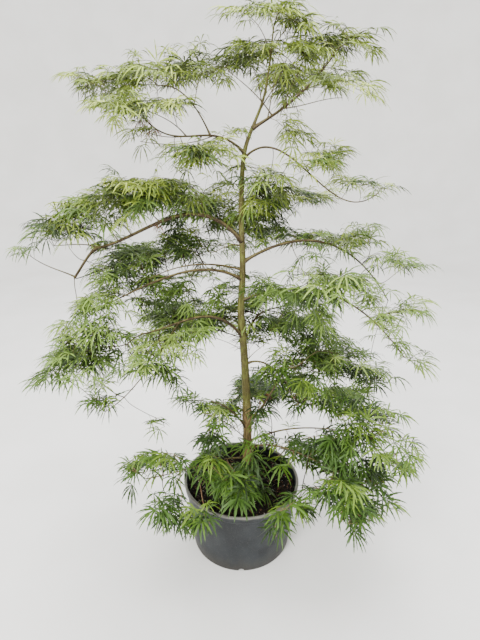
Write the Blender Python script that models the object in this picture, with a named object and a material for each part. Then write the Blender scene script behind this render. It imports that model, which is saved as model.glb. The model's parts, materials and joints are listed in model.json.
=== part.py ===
"""A Japanese maple in a nursery pot, as one standing object.

Metres, +Z up. The origin is the centre of the pot's flat underside. A heading is an angle in
degrees seen from above: 0 points along +X (right), 90 along +Y (back), 270 towards the front.
The tree is a leader trunk, one tapering solid for each bough and one closed pad for each
mass of foliage. Every piece that meets another is cut back to leave GAP between them.
"""

from collections import namedtuple
from math import cos, exp, pi, radians, sin

import bmesh
import bpy
import numpy as np

GAP = 0.0003
FLAT_ANGLE = 0.6

# The pot: a squat nursery container of about 40 litres.
POT_HEIGHT = 0.276
POT_RIM_RADIUS = 0.215
POT_FOOT_RADIUS = 0.187
POT_WALL = 0.004
POT_FLOOR = 0.005
RIM_BAND_HEIGHT = 0.028
RIM_BAND_PROUD = 0.0045
RIM_BAND_STEP = 0.002
RIM_ROLL_RADIUS = 0.005
RIM_ROLL_CORNER = 0.3 * RIM_ROLL_RADIUS
FOOT_CHAMFER = 0.003
POT_SIDES = 32
DRAIN_NOTCHES = 4
DRAIN_WIDTH = 0.022
DRAIN_HEIGHT = 0.012
DRAIN_REACH = 0.012
SOIL_LEVEL = 0.243
SOIL_FOOT_INSET = 0.020
SOIL_FOOT_HEIGHT = 0.016
SOIL_GAP = 0.0005

# The trunk: its sideways lean at each height, and its radius from foot to tip as (height, value).
TRUNK_BENDS = (
    (0.243, 0.018),
    (0.50, 0.0215),
    (0.68, 0.015),
    (0.82, 0.007),
    (0.95, -0.002),
    (1.08, 0.003),
    (1.32, -0.001),
    (1.45, 0.009),
    (1.585, 0.060),
    (1.765, 0.085),
)
TRUNK_RADII = (
    (0.243, 0.0172),
    (0.60, 0.0146),
    (0.95, 0.0112),
    (1.30, 0.0078),
    (1.45, 0.0061),
    (1.56, 0.0038),
    (1.765, 0.0018),
)
UNION_HEIGHT = 0.545
UNION_SWELL = 0.0028
UNION_LENGTH = 0.035
FLARE = 0.0105
FLARE_HEIGHT = 0.030
FLARE_LOBES = 5
FLARE_LOBE_DEPTH = 0.25
RING_CROWDING = 1.6
TRUNK_SIDES = 10
TRUNK_RINGS = 20

BOUGH_SIDES = 6
BOUGH_RINGS = 7

# One row for each bough. It starts on the axis of its parent at the height `start`, runs for
# `reach` along `heading`, and passes through the heights `shoulder`, `middle` and `end` at the
# stations below. `bow` is its sideways bend, to the left as seen from its root.
STATIONS = (0.0, 0.25, 0.60, 1.0)
Bough = namedtuple("Bough", "name parent heading reach start shoulder middle end bow root tip")
BOUGHS = (
    Bough("leader_right", "trunk", 345, 0.217, 1.507, 1.538, 1.592, 1.685, 0.0, 0.0056, 0.0022),
    Bough("upper_left", "trunk", 178, 0.29, 1.440, 1.485, 1.486, 1.540, 0.01, 0.0042, 0.0020),
    Bough("upper_left_fork", "upper_left", 165, 0.155, 1.4883, 1.556, 1.607, 1.618, 0.0, 0.0027, 0.0016),
    Bough("upper_right", "trunk", 347, 0.39, 1.424, 1.452, 1.355, 1.342, 0.0, 0.0038, 0.0016),
    Bough("upper_back", "trunk", 62, 0.34, 1.270, 1.315, 1.320, 1.290, -0.01, 0.0048, 0.0022),
    Bough("left_long", "trunk", 187, 0.44, 1.1805, 1.264, 1.243, 1.173, 0.013, 0.0072, 0.0050),
    Bough("left_long_stub", "left_long", 187, 0.076, 1.173, 1.158, 1.125, 1.083, 0.0, 0.0050, 0.0044),
    Bough("right_long", "trunk", 8, 0.50, 1.115, 1.174, 1.158, 0.962, -0.02, 0.0060, 0.0021),
    Bough("left_middle", "trunk", 194, 0.42, 1.058, 1.100, 1.083, 1.014, 0.01, 0.0060, 0.0024),
    Bough("right_middle", "trunk", 338, 0.52, 0.988, 1.038, 1.035, 0.880, 0.01, 0.0050, 0.0022),
    Bough("left_lower", "trunk", 222, 0.38, 0.855, 0.948, 0.980, 0.980, 0.0, 0.0062, 0.0022),
    Bough("left_drop", "left_lower", 190, 0.24, 0.9795, 0.890, 0.780, 0.700, 0.0, 0.0030, 0.0015),
    Bough("back_lower", "trunk", 60, 0.30, 0.830, 0.880, 0.890, 0.870, 0.01, 0.0056, 0.0024),
    Bough("right_drop", "trunk", 0, 0.19, 0.753, 0.765, 0.722, 0.600, 0.0, 0.0042, 0.0018),
    Bough("right_rising", "trunk", 340, 0.16, 0.540, 0.570, 0.680, 0.780, 0.01, 0.0056, 0.0024),
    Bough("left_rising", "trunk", 230, 0.18, 0.485, 0.555, 0.632, 0.690, 0.0, 0.0046, 0.0020),
    Bough("low_right", "trunk", 347, 0.39, 0.432, 0.488, 0.525, 0.535, 0.01, 0.0044, 0.0017),
    Bough("low_front", "trunk", 332, 0.35, 0.400, 0.460, 0.472, 0.430, -0.02, 0.0044, 0.0017),
    Bough("low_left", "trunk", 205, 0.38, 0.360, 0.390, 0.398, 0.400, 0.01, 0.0042, 0.0017),
)

# One row for each mass of foliage: an uneven pad along a spine from `near` to `far` (reaches
# along `heading`), whose middle line goes from the height `near_z` to `far_z` and arches by
# `arch` between them. `wide` is its half width and `deep` its whole depth.
MASS_SIDES = 8
MASS_RINGS = 6
LUMPINESS = 0.20
EDGE_DROOP = 0.30
FULLEST_NEAR = 0.85
BLUNTNESS = 0.55
Mass = namedtuple("Mass", "name heading near near_z far far_z arch wide deep")
MASSES = (
    Mass("crown_top", 0, -0.02, 1.762, 0.21, 1.755, 0.025, 0.13, 0.075),
    Mass("crown_left", 195, -0.21, 1.700, 0.10, 1.680, 0.020, 0.12, 0.070),
    Mass("crown_right", 8, 0.15, 1.710, 0.38, 1.690, 0.025, 0.12, 0.080),
    Mass("crown_back", 48, 0.05, 1.640, 0.42, 1.640, 0.020, 0.14, 0.085),
    Mass("crown_shelf", 335, 0.12, 1.600, 0.40, 1.575, 0.020, 0.09, 0.065),
    Mass("upper_left_high", 160, 0.02, 1.648, 0.61, 1.612, 0.014, 0.11, 0.070),
    Mass("upper_left_low", 190, 0.06, 1.560, 0.46, 1.545, 0.015, 0.10, 0.070),
    Mass("upper_left_front", 212, 0.00, 1.465, 0.29, 1.415, 0.010, 0.085, 0.075),
    Mass("upper_right_inner", 340, 0.00, 1.370, 0.34, 1.430, 0.000, 0.085, 0.066),
    Mass("upper_right_outer", 350, 0.18, 1.350, 0.47, 1.335, 0.015, 0.09, 0.055),
    Mass("upper_back", 50, 0.02, 1.300, 0.55, 1.245, 0.025, 0.15, 0.090),
    Mass("upper_rear_left", 130, 0.00, 1.265, 0.38, 1.220, 0.020, 0.13, 0.100),
    Mass("left_high", 184, 0.07, 1.320, 0.55, 1.280, 0.030, 0.13, 0.095),
    Mass("left_tip", 185, 0.38, 1.240, 0.70, 1.165, 0.040, 0.10, 0.080),
    Mass("left_rear", 158, 0.00, 1.160, 0.61, 1.010, 0.020, 0.13, 0.100),
    Mass("right_high", 14, 0.10, 1.165, 0.54, 1.160, 0.010, 0.12, 0.080),
    Mass("right_tip", 0, 0.36, 1.100, 0.61, 1.060, 0.015, 0.08, 0.065),
    Mass("right_front", 322, 0.00, 1.035, 0.50, 1.120, 0.020, 0.11, 0.080),
    Mass("right_fall", 336, 0.33, 1.005, 0.60, 1.010, 0.005, 0.085, 0.085),
    Mass("right_low_tip", 336, 0.44, 0.890, 0.65, 0.890, 0.010, 0.085, 0.080),
    Mass("dome_back", 42, 0.00, 0.890, 0.51, 0.750, 0.060, 0.18, 0.140),
    Mass("left_middle", 194, 0.32, 1.045, 0.59, 0.980, 0.015, 0.10, 0.090),
    Mass("left_middle_rear", 166, 0.00, 1.030, 0.42, 0.980, 0.025, 0.12, 0.090),
    Mass("left_fall", 206, 0.37, 0.980, 0.68, 0.850, 0.015, 0.11, 0.120),
    Mass("left_lower_rear", 142, 0.00, 0.890, 0.55, 0.770, 0.020, 0.14, 0.110),
    Mass("left_lower", 226, 0.15, 0.940, 0.47, 0.890, 0.010, 0.10, 0.120),
    Mass("left_sprig", 202, 0.41, 0.710, 0.56, 0.715, 0.010, 0.06, 0.070),
    Mass("left_under", 230, 0.03, 0.650, 0.41, 0.670, 0.020, 0.09, 0.100),
    Mass("back_middle", 92, 0.00, 1.200, 0.46, 1.110, 0.030, 0.17, 0.110),
    Mass("back_lower", 82, 0.00, 0.540, 0.42, 0.450, 0.020, 0.16, 0.110),
    Mass("right_under", 358, 0.06, 0.745, 0.60, 0.700, 0.030, 0.13, 0.110),
    Mass("right_skirt", 28, 0.10, 0.625, 0.67, 0.400, 0.010, 0.13, 0.110),
    Mass("low_right", 341, 0.20, 0.560, 0.62, 0.530, 0.010, 0.11, 0.120),
    Mass("low_front", 318, 0.28, 0.480, 0.57, 0.365, 0.015, 0.10, 0.120),
    Mass("pot_front", 306, -0.03, 0.375, 0.33, 0.240, 0.070, 0.09, 0.085),
    Mass("low_left", 196, 0.14, 0.395, 0.45, 0.330, 0.020, 0.09, 0.115),
    Mass("pot_left", 228, 0.14, 0.375, 0.42, 0.215, 0.040, 0.10, 0.085),
    Mass("over_soil", 244, -0.04, 0.345, 0.17, 0.290, 0.010, 0.08, 0.070),
)

POT_COLOUR = (0.028, 0.030, 0.034)
SOIL_COLOUR = (0.040, 0.024, 0.014)
BARK_COLOUR = (0.115, 0.082, 0.048)
LEAF_LOW = (0.19, 0.30, 0.05)
LEAF_HIGH = (0.30, 0.36, 0.12)


def clear_scene():
    for obj in list(bpy.data.objects):
        bpy.data.objects.remove(obj, do_unlink=True)


def material(name, colour, roughness):
    made = bpy.data.materials.new(name)
    made.use_nodes = True
    shader = made.node_tree.nodes["Principled BSDF"]
    shader.inputs["Base Color"].default_value = (*colour, 1.0)
    shader.inputs["Roughness"].default_value = roughness
    return made


def add_object(name, points, faces, finish=None):
    """A mesh object of these points and faces, with its faces turned outwards."""
    mesh = bpy.data.meshes.new(name)
    mesh.from_pydata([tuple(point) for point in points], [], faces)
    work = bmesh.new()
    work.from_mesh(mesh)
    bmesh.ops.recalc_face_normals(work, faces=work.faces)
    bmesh.ops.triangulate(work, faces=work.faces, quad_method="FIXED")
    work.to_mesh(mesh)
    work.free()
    obj = bpy.data.objects.new(name, mesh)
    bpy.context.scene.collection.objects.link(obj)
    if finish:
        mesh.materials.append(finish)
    return obj


def stacked_rings(rings, start, end):
    """Points and faces of a closed skin over rings of equal length, with a pole at each end."""
    count, sides = len(rings), len(rings[0])
    points = [tuple(start)] + [tuple(p) for ring in rings for p in ring] + [tuple(end)]
    last = len(points) - 1
    faces = []
    for side in range(sides):
        after = (side + 1) % sides
        faces.append((0, 1 + after, 1 + side))
        for row in range(count - 1):
            a, b = 1 + row * sides, 1 + (row + 1) * sides
            faces.append((a + side, a + after, b + after, b + side))
        top = 1 + (count - 1) * sides
        faces.append((top + side, top + after, last))
    return points, faces


def turned(profile, sides):
    """A turned shape: `profile` is (radius, height) pairs, whose first and last are on the axis."""
    turns = [2 * pi * k / sides for k in range(sides)]
    rings = [[(r * cos(a), r * sin(a), z) for a in turns] for r, z in profile[1:-1]]
    return stacked_rings(rings, (0, 0, profile[0][1]), (0, 0, profile[-1][1]))


def tube(path, radii, sides, radius_at=None):
    """A tapering tube along a path. `radius_at(index, turn)` adds to its radius and levels its foot."""
    path = np.asarray(path, float)
    along = np.gradient(path, axis=0)
    along /= np.linalg.norm(along, axis=1)[:, None]
    side = np.array((0.0, 1.0, 0.0)) if abs(along[0][1]) < 0.9 else np.array((1.0, 0.0, 0.0))
    rings = []
    for index, (point, forward, radius) in enumerate(zip(path, along, radii)):
        side = side - forward * side.dot(forward)
        side /= np.linalg.norm(side)
        other = np.cross(forward, side)
        ring = []
        for k in range(sides):
            turn = 2 * pi * k / sides
            extra = radius_at(index, turn) if radius_at else 0.0
            ring.append(point + (radius + extra) * (side * cos(turn) + other * sin(turn)))
        rings.append(ring)
    if radius_at:
        for point in rings[0]:
            point[2] = path[0][2]
    return stacked_rings(rings, path[0], path[-1])


def smooth_through(knots, at):
    """A smooth curve through (station, value) knots, read at the stations `at`."""
    stations, values = (np.array(column, float) for column in zip(*knots))
    slopes = np.gradient(values, stations)
    spot = np.clip(np.searchsorted(stations, at, side="right") - 1, 0, len(stations) - 2)
    span = stations[spot + 1] - stations[spot]
    t = (at - stations[spot]) / span
    return (
        values[spot] * (1 + 2 * t) * (1 - t) ** 2
        + slopes[spot] * span * t * (1 - t) ** 2
        + values[spot + 1] * t * t * (3 - 2 * t)
        + slopes[spot + 1] * span * t * t * (t - 1)
    )


def trunk_point(height):
    return np.array((float(smooth_through(TRUNK_BENDS, np.array([height]))[0]), 0.0, height))


def trunk_radius(height):
    """A taper that quickens above the forks, with a swelling where the tree was grafted."""
    height = min(max(height, SOIL_LEVEL), TRUNK_RADII[-1][0])
    taper = float(smooth_through(TRUNK_RADII, np.array([height]))[0])
    swell = UNION_SWELL * exp(-(((height - UNION_HEIGHT) / UNION_LENGTH) ** 2))
    return taper + swell


def trunk_shape(grow):
    """The trunk's tube. Its rings crowd towards the foot, where the roots flare in lobes."""
    foot, tip = SOIL_LEVEL + GAP, TRUNK_BENDS[-1][0] + grow
    steps = np.linspace(0, 1, TRUNK_RINGS)
    heights = foot - grow + (tip - foot + grow) * steps**RING_CROWDING
    path = [trunk_point(z) for z in heights]

    def flare(index, turn):
        rise = exp(-(heights[index] - SOIL_LEVEL) / FLARE_HEIGHT)
        return FLARE * rise * (1 - FLARE_LOBE_DEPTH * (1 - cos(FLARE_LOBES * turn)))

    return tube(path, [trunk_radius(z) + grow for z in heights], TRUNK_SIDES, flare)


def heading_vector(heading):
    return np.array((cos(radians(heading)), sin(radians(heading)), 0.0))


def bough_path(bough, roots):
    """A cubic height over the reach, through the four stations, with a sideways bow."""
    t = np.linspace(0, 1, BOUGH_RINGS)
    curve = np.polyfit(STATIONS, (bough.start, bough.shoulder, bough.middle, bough.end), 3)
    forward = heading_vector(bough.heading)
    left = heading_vector(bough.heading + 90)
    path = roots[bough.name] * (1, 1, 0) + np.outer(bough.reach * t, forward)
    path = path + np.outer(bough.bow * np.sin(pi * t), left)
    path[:, 2] = np.polyval(curve, t)
    return path


def bough_roots():
    """Where each bough starts: on the trunk's axis, or on its parent's path at that height."""
    roots, paths = {}, {}
    for bough in BOUGHS:
        if bough.parent == "trunk":
            roots[bough.name] = trunk_point(bough.start)
        else:
            parent = paths[bough.parent]
            half = parent[2:]
            roots[bough.name] = half[np.argmin(np.abs(half[:, 2] - bough.start))]
        paths[bough.name] = bough_path(bough, roots)
    return roots


def bough_shape(bough, roots, grow):
    radii = np.linspace(bough.root, bough.tip, BOUGH_RINGS) + grow
    path = bough_path(bough, roots)
    forward = path[-1] - path[-2]
    path[-1] += grow * forward / np.linalg.norm(forward)
    return tube(path, radii, BOUGH_SIDES)


def mass_name(mass):
    return "foliage_" + mass.name


def mass_shape(mass):
    """An uneven pad: rings of a flattened, drooping oval along an arched spine."""
    dice = np.random.default_rng(sum(ord(letter) for letter in mass_name(mass)))
    forward, left = heading_vector(mass.heading), heading_vector(mass.heading + 90)
    stations = np.linspace(0, 1, MASS_RINGS + 2)
    turns = 2 * pi * np.arange(MASS_SIDES) / MASS_SIDES
    phase = dice.uniform(0, 2 * pi, (3, 2))

    def spine(t):
        height = mass.near_z + (mass.far_z - mass.near_z) * t + 4 * mass.arch * t * (1 - t)
        return forward * (mass.near + (mass.far - mass.near) * t) + np.array((0, 0, height))

    rings = []
    for t in stations[1:-1]:
        girth = sin(pi * t**FULLEST_NEAR) ** BLUNTNESS
        lumps = 1 + LUMPINESS * sum(
            np.sin((k + 1) * turns + phase[k, 0] + (2 + 3 * k) * pi * t + phase[k, 1]) / (1 + 0.5 * k)
            for k in range(3)
        )
        across = mass.wide * girth * np.cos(turns) * lumps
        up = 0.5 * mass.deep * girth * np.sin(turns) * lumps
        droop = EDGE_DROOP * mass.deep * (np.cos(turns) * girth) ** 2
        lift = np.outer(up - droop, (0, 0, 1))
        rings.append(spine(t) + np.outer(across, left) + lift)
    return stacked_rings(rings, spine(0.0), spine(1.0))


def grown(obj, grow, name):
    """A wire copy of an object with every point moved out along its normal, for cutting."""
    mesh = obj.data.copy()
    normals = np.array([vertex.normal for vertex in mesh.vertices])
    for vertex, normal in zip(mesh.vertices, normals):
        vertex.co = np.array(vertex.co) + normal * grow
    return as_cutter(bpy.data.objects.new(name, mesh))


def as_cutter(obj):
    if not obj.users_collection:
        bpy.context.scene.collection.objects.link(obj)
    obj.hide_render = True
    obj.display_type = "WIRE"
    return obj


def box_of(obj):
    points = np.array([vertex.co for vertex in obj.data.vertices])
    return points.min(0), points.max(0)


def boxes_meet(one, other):
    (low, high), (low2, high2) = one, other
    return bool((low <= high2).all() and (low2 <= high).all())


def cut(obj, cutters):
    """Cuts every cutter that comes near from the object, and keeps the largest body left."""
    near = [cutter for cutter in cutters if boxes_meet(box_of(obj), box_of(cutter))]
    if not near:
        return
    for cutter in near:
        difference = obj.modifiers.new(cutter.name, "BOOLEAN")
        difference.operation = "DIFFERENCE"
        difference.solver = "EXACT"
        difference.object = cutter
    bpy.context.view_layer.update()
    made = bpy.data.meshes.new_from_object(obj.evaluated_get(bpy.context.evaluated_depsgraph_get()))
    obj.modifiers.clear()
    obj.data = keep_largest(made)


def keep_largest(mesh):
    work = bmesh.new()
    work.from_mesh(mesh)
    bmesh.ops.remove_doubles(work, verts=work.verts, dist=1e-6)
    waiting, bodies = set(work.verts), []
    while waiting:
        stack, body = [waiting.pop()], []
        while stack:
            vertex = stack.pop()
            body.append(vertex)
            for edge in vertex.link_edges:
                other = edge.other_vert(vertex)
                if other in waiting:
                    waiting.remove(other)
                    stack.append(other)
        bodies.append(body)
    bodies.sort(key=len)
    for body in bodies[:-1]:
        bmesh.ops.delete(work, geom=body, context="VERTS")
    bmesh.ops.dissolve_limit(work, angle_limit=radians(FLAT_ANGLE), verts=work.verts, edges=work.edges)
    bmesh.ops.triangulate(work, faces=work.faces)
    work.to_mesh(mesh)
    work.free()
    return mesh


def wall_radius(height):
    """The pot's outer radius below its rim band."""
    rim = POT_RIM_RADIUS - RIM_BAND_PROUD
    return POT_FOOT_RADIUS + (rim - POT_FOOT_RADIUS) * height / POT_HEIGHT


def make_pot(finish):
    band = POT_HEIGHT - RIM_BAND_HEIGHT
    roll = POT_HEIGHT - RIM_ROLL_RADIUS
    inner = wall_radius(POT_HEIGHT) - POT_WALL
    profile = [
        (0, 0),
        (POT_FOOT_RADIUS - FOOT_CHAMFER, 0),
        (POT_FOOT_RADIUS, FOOT_CHAMFER),
        (wall_radius(band), band),
        (wall_radius(band) + RIM_BAND_PROUD, band + RIM_BAND_STEP),
        (POT_RIM_RADIUS, roll),
        (POT_RIM_RADIUS - RIM_ROLL_CORNER, POT_HEIGHT - RIM_ROLL_CORNER),
        (POT_RIM_RADIUS - RIM_ROLL_RADIUS, POT_HEIGHT),
        (inner, POT_HEIGHT - RIM_ROLL_CORNER),
        (wall_radius(SOIL_LEVEL) - POT_WALL, SOIL_LEVEL),
        (wall_radius(POT_FLOOR) - POT_WALL, POT_FLOOR),
        (0, POT_FLOOR),
    ]
    pot = add_object("pot", *turned(profile, POT_SIDES), finish)
    notches = []
    for k in range(DRAIN_NOTCHES):
        angle = 270 + 360 * k / DRAIN_NOTCHES
        out, across = heading_vector(angle), heading_vector(angle + 90)
        corners = [
            out * (POT_FOOT_RADIUS + r) + across * w + np.array((0, 0, z))
            for r in (-DRAIN_REACH, DRAIN_REACH)
            for w in (-DRAIN_WIDTH / 2, DRAIN_WIDTH / 2)
            for z in (-DRAIN_HEIGHT, DRAIN_HEIGHT)
        ]
        faces = [(0, 1, 3, 2), (4, 6, 7, 5), (0, 4, 5, 1), (2, 3, 7, 6), (0, 2, 6, 4), (1, 5, 7, 3)]
        notches.append(as_cutter(add_object(f"drain_cutter_{k + 1}", corners, faces)))
    cut(pot, notches)
    pot.data.shade_smooth()
    pot.data.set_sharp_from_angle(angle=radians(30))
    return pot


def make_soil(finish):
    """The soil fills the pot inside its wall, clear of the drain notches, up to its own level."""
    profile = [
        (0, POT_FLOOR + GAP),
        (POT_FOOT_RADIUS - SOIL_FOOT_INSET, POT_FLOOR + GAP),
        (wall_radius(SOIL_FOOT_HEIGHT) - POT_WALL - SOIL_GAP, SOIL_FOOT_HEIGHT),
        (wall_radius(SOIL_LEVEL) - POT_WALL - SOIL_GAP, SOIL_LEVEL),
        (0, SOIL_LEVEL),
    ]
    return add_object("soil", *turned(profile, POT_SIDES), finish)


def main():
    clear_scene()
    pot_finish = material("pot_plastic", POT_COLOUR, 0.55)
    soil_finish = material("soil", SOIL_COLOUR, 0.95)
    bark_finish = material("bark", BARK_COLOUR, 0.85)

    make_pot(pot_finish)
    make_soil(soil_finish)
    trunk = add_object("trunk", *trunk_shape(0.0), bark_finish)
    trunk.data.shade_smooth()
    wood_cutters = [as_cutter(add_object("trunk_cutter", *trunk_shape(GAP)))]

    roots = bough_roots()
    for bough in BOUGHS:
        name = "bough_" + bough.name
        limb = add_object(name, *bough_shape(bough, roots, 0.0), bark_finish)
        cut(limb, wood_cutters)
        limb.data.shade_smooth()
        wood_cutters.append(as_cutter(add_object(name + "_cutter", *bough_shape(bough, roots, GAP))))

    pot_cutter = grown(bpy.data.objects["pot"], GAP, "pot_cutter")
    mass_cutters = []
    for mass in MASSES:
        rise = (mass.near_z - SOIL_LEVEL) / (TRUNK_BENDS[-1][0] - SOIL_LEVEL)
        colour = [low + (high - low) * rise for low, high in zip(LEAF_LOW, LEAF_HIGH)]
        name = mass_name(mass)
        pad = add_object(name, *mass_shape(mass), material(name, colour, 0.7))
        mass_cutters.append(grown(pad, GAP, name + "_cutter"))
        cut(pad, [pot_cutter] + wood_cutters + mass_cutters[:-1])
        pad.data.shade_smooth()


main()
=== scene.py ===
"""The looks of a Japanese maple in a nursery pot.

Metres, +Z up, in the frame of the construction, whose origin is the centre of the pot's flat
underside. A heading is an angle in degrees seen from above: 0 points along +X (right), 90 along
+Y (back), 270 towards the front. The limbs follow the rows of the construction in finer steps,
with bark. Twigs grow on from the limbs towards seeded points inside each mass of foliage, and
leaves hang in pairs along the outer twigs, each spray in one of a few plain greens.
"""

import json
from collections import namedtuple
from math import cos, pi, radians, sin

import bmesh
import bpy
import numpy as np
from mathutils.bvhtree import BVHTree
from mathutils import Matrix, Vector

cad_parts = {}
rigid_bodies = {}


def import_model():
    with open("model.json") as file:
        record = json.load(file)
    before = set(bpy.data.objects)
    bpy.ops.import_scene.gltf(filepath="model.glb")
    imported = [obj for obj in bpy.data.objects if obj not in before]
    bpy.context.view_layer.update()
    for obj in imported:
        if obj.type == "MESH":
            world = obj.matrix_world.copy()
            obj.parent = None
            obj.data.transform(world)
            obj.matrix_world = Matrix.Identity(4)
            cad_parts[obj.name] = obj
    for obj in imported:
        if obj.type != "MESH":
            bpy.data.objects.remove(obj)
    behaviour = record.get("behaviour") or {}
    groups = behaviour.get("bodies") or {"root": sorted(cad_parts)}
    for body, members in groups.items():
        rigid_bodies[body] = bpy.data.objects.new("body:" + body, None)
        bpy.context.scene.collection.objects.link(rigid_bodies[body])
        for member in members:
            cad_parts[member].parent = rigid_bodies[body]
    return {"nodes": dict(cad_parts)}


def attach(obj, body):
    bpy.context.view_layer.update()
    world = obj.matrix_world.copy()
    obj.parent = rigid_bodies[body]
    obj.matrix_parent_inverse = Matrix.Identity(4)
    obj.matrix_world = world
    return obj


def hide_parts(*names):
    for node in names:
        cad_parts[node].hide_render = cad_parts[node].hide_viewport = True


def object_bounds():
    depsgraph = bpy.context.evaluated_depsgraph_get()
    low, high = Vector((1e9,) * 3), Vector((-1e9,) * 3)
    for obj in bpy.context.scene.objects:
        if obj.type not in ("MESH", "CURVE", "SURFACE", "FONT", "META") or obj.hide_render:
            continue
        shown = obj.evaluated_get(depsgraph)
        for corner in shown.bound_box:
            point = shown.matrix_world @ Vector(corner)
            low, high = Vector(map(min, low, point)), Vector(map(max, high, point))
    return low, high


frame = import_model()
cad_box = [list(corner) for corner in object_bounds()]

BODY = "root"
UP = np.array((0.0, 0.0, 1.0))
SEED = 41

# ---------------------------------------------------------------- sizes of pot, soil and trunk

POT_HEIGHT = 0.276
POT_RIM_RADIUS = 0.215
POT_FOOT_RADIUS = 0.187
POT_WALL = 0.004
POT_FLOOR = 0.005
RIM_BAND_HEIGHT = 0.028
RIM_BAND_PROUD = 0.0045
RIM_BAND_STEP = 0.002
RIM_ROLL_RADIUS = 0.005
FOOT_ROUNDING = 0.004
DRAIN_NOTCHES = 4
DRAIN_WIDTH = 0.022
DRAIN_HEIGHT = 0.012
DRAIN_REACH = 0.012
DRAIN_ARCH_POINTS = 9
POT_TURNS = 192
POT_SHARP_EDGE = 40

# Places on the pot's section: the ring next to each pole, the start of the straight wall, the edges
# of the rim band, and the turns of the inner wall and the floor.
POT_HUB = 0.02
WALL_START = 0.012
BAND_EDGE = 0.0006
BAND_EDGE_SHARE = 0.8
BAND_FACE_START = 0.004
BAND_FACE_INSET = 0.0002
BAND_FACE_END = 0.002
INNER_LIP_DROP = 0.003
INNER_WALL_TURN = 0.22
FLOOR_TURN = 0.15

SOIL_LEVEL = 0.243
SOIL_TURNS = 180
SOIL_RINGS = 60
SOIL_GAP = 0.0004
SOIL_FOOT_GAP = 0.0005
SOIL_FOOT_HEIGHT = 0.02
SOIL_FOOT_ROUNDING = 0.010
SOIL_HUB = 0.03
SOIL_SIDE_GAP = 0.001
SOIL_EDGE_DROP = 0.004
SOIL_SHOULDER = 0.012
SOIL_POLE = 0.002
MOUND_HEIGHT = 0.004
MOUND_WIDTH = 0.06

TRUNK_BENDS = (
    (0.243, 0.018),
    (0.50, 0.0215),
    (0.68, 0.015),
    (0.82, 0.007),
    (0.95, -0.002),
    (1.08, 0.003),
    (1.32, -0.001),
    (1.45, 0.009),
    (1.585, 0.060),
    (1.765, 0.085),
)
TRUNK_RADII = (
    (0.243, 0.0172),
    (0.60, 0.0146),
    (0.95, 0.0112),
    (1.30, 0.0078),
    (1.45, 0.0061),
    (1.56, 0.0038),
    (1.765, 0.0018),
)
UNION_HEIGHT = 0.545
UNION_SWELL = 0.0028
UNION_LENGTH = 0.035
FLARE = 0.0105
FLARE_HEIGHT = 0.030
FLARE_LOBES = 5
FLARE_LOBE_DEPTH = 0.25
FLARE_MOST = 1.35

# One row for each bough. It starts on the axis of its parent at the height `start`, runs for
# `reach` along `heading`, and passes through the heights `shoulder`, `middle` and `end` at the
# stations below. `bow` is its sideways bend, to the left as seen from its root.
STATIONS = (0.0, 0.25, 0.60, 1.0)
Bough = namedtuple("Bough", "name parent heading reach start shoulder middle end bow root tip")
BOUGHS = (
    Bough("leader_right", "trunk", 345, 0.217, 1.507, 1.538, 1.592, 1.685, 0.0, 0.0056, 0.0022),
    Bough("upper_left", "trunk", 178, 0.29, 1.440, 1.485, 1.486, 1.540, 0.01, 0.0042, 0.0020),
    Bough("upper_left_fork", "upper_left", 165, 0.155, 1.4883, 1.556, 1.607, 1.618, 0.0, 0.0027, 0.0016),
    Bough("upper_right", "trunk", 347, 0.39, 1.424, 1.452, 1.355, 1.342, 0.0, 0.0038, 0.0016),
    Bough("upper_back", "trunk", 62, 0.34, 1.270, 1.315, 1.320, 1.290, -0.01, 0.0048, 0.0022),
    Bough("left_long", "trunk", 187, 0.44, 1.1805, 1.264, 1.243, 1.173, 0.013, 0.0072, 0.0050),
    Bough("left_long_stub", "left_long", 187, 0.076, 1.173, 1.158, 1.125, 1.083, 0.0, 0.0050, 0.0044),
    Bough("right_long", "trunk", 8, 0.50, 1.115, 1.174, 1.158, 0.962, -0.02, 0.0060, 0.0021),
    Bough("left_middle", "trunk", 194, 0.42, 1.058, 1.100, 1.083, 1.014, 0.01, 0.0060, 0.0024),
    Bough("right_middle", "trunk", 338, 0.52, 0.988, 1.038, 1.035, 0.880, 0.01, 0.0050, 0.0022),
    Bough("left_lower", "trunk", 222, 0.38, 0.855, 0.948, 0.980, 0.980, 0.0, 0.0062, 0.0022),
    Bough("left_drop", "left_lower", 190, 0.24, 0.9795, 0.890, 0.780, 0.700, 0.0, 0.0030, 0.0015),
    Bough("back_lower", "trunk", 60, 0.30, 0.830, 0.880, 0.890, 0.870, 0.01, 0.0056, 0.0024),
    Bough("right_drop", "trunk", 0, 0.19, 0.753, 0.765, 0.722, 0.600, 0.0, 0.0042, 0.0018),
    Bough("right_rising", "trunk", 340, 0.16, 0.540, 0.570, 0.680, 0.780, 0.01, 0.0056, 0.0024),
    Bough("left_rising", "trunk", 230, 0.18, 0.485, 0.555, 0.632, 0.690, 0.0, 0.0046, 0.0020),
    Bough("low_right", "trunk", 347, 0.39, 0.432, 0.488, 0.525, 0.535, 0.01, 0.0044, 0.0017),
    Bough("low_front", "trunk", 332, 0.35, 0.400, 0.460, 0.472, 0.430, -0.02, 0.0044, 0.0017),
    Bough("low_left", "trunk", 205, 0.38, 0.360, 0.390, 0.398, 0.400, 0.01, 0.0042, 0.0017),
)
BOUGH_KNOTS = 7

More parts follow.
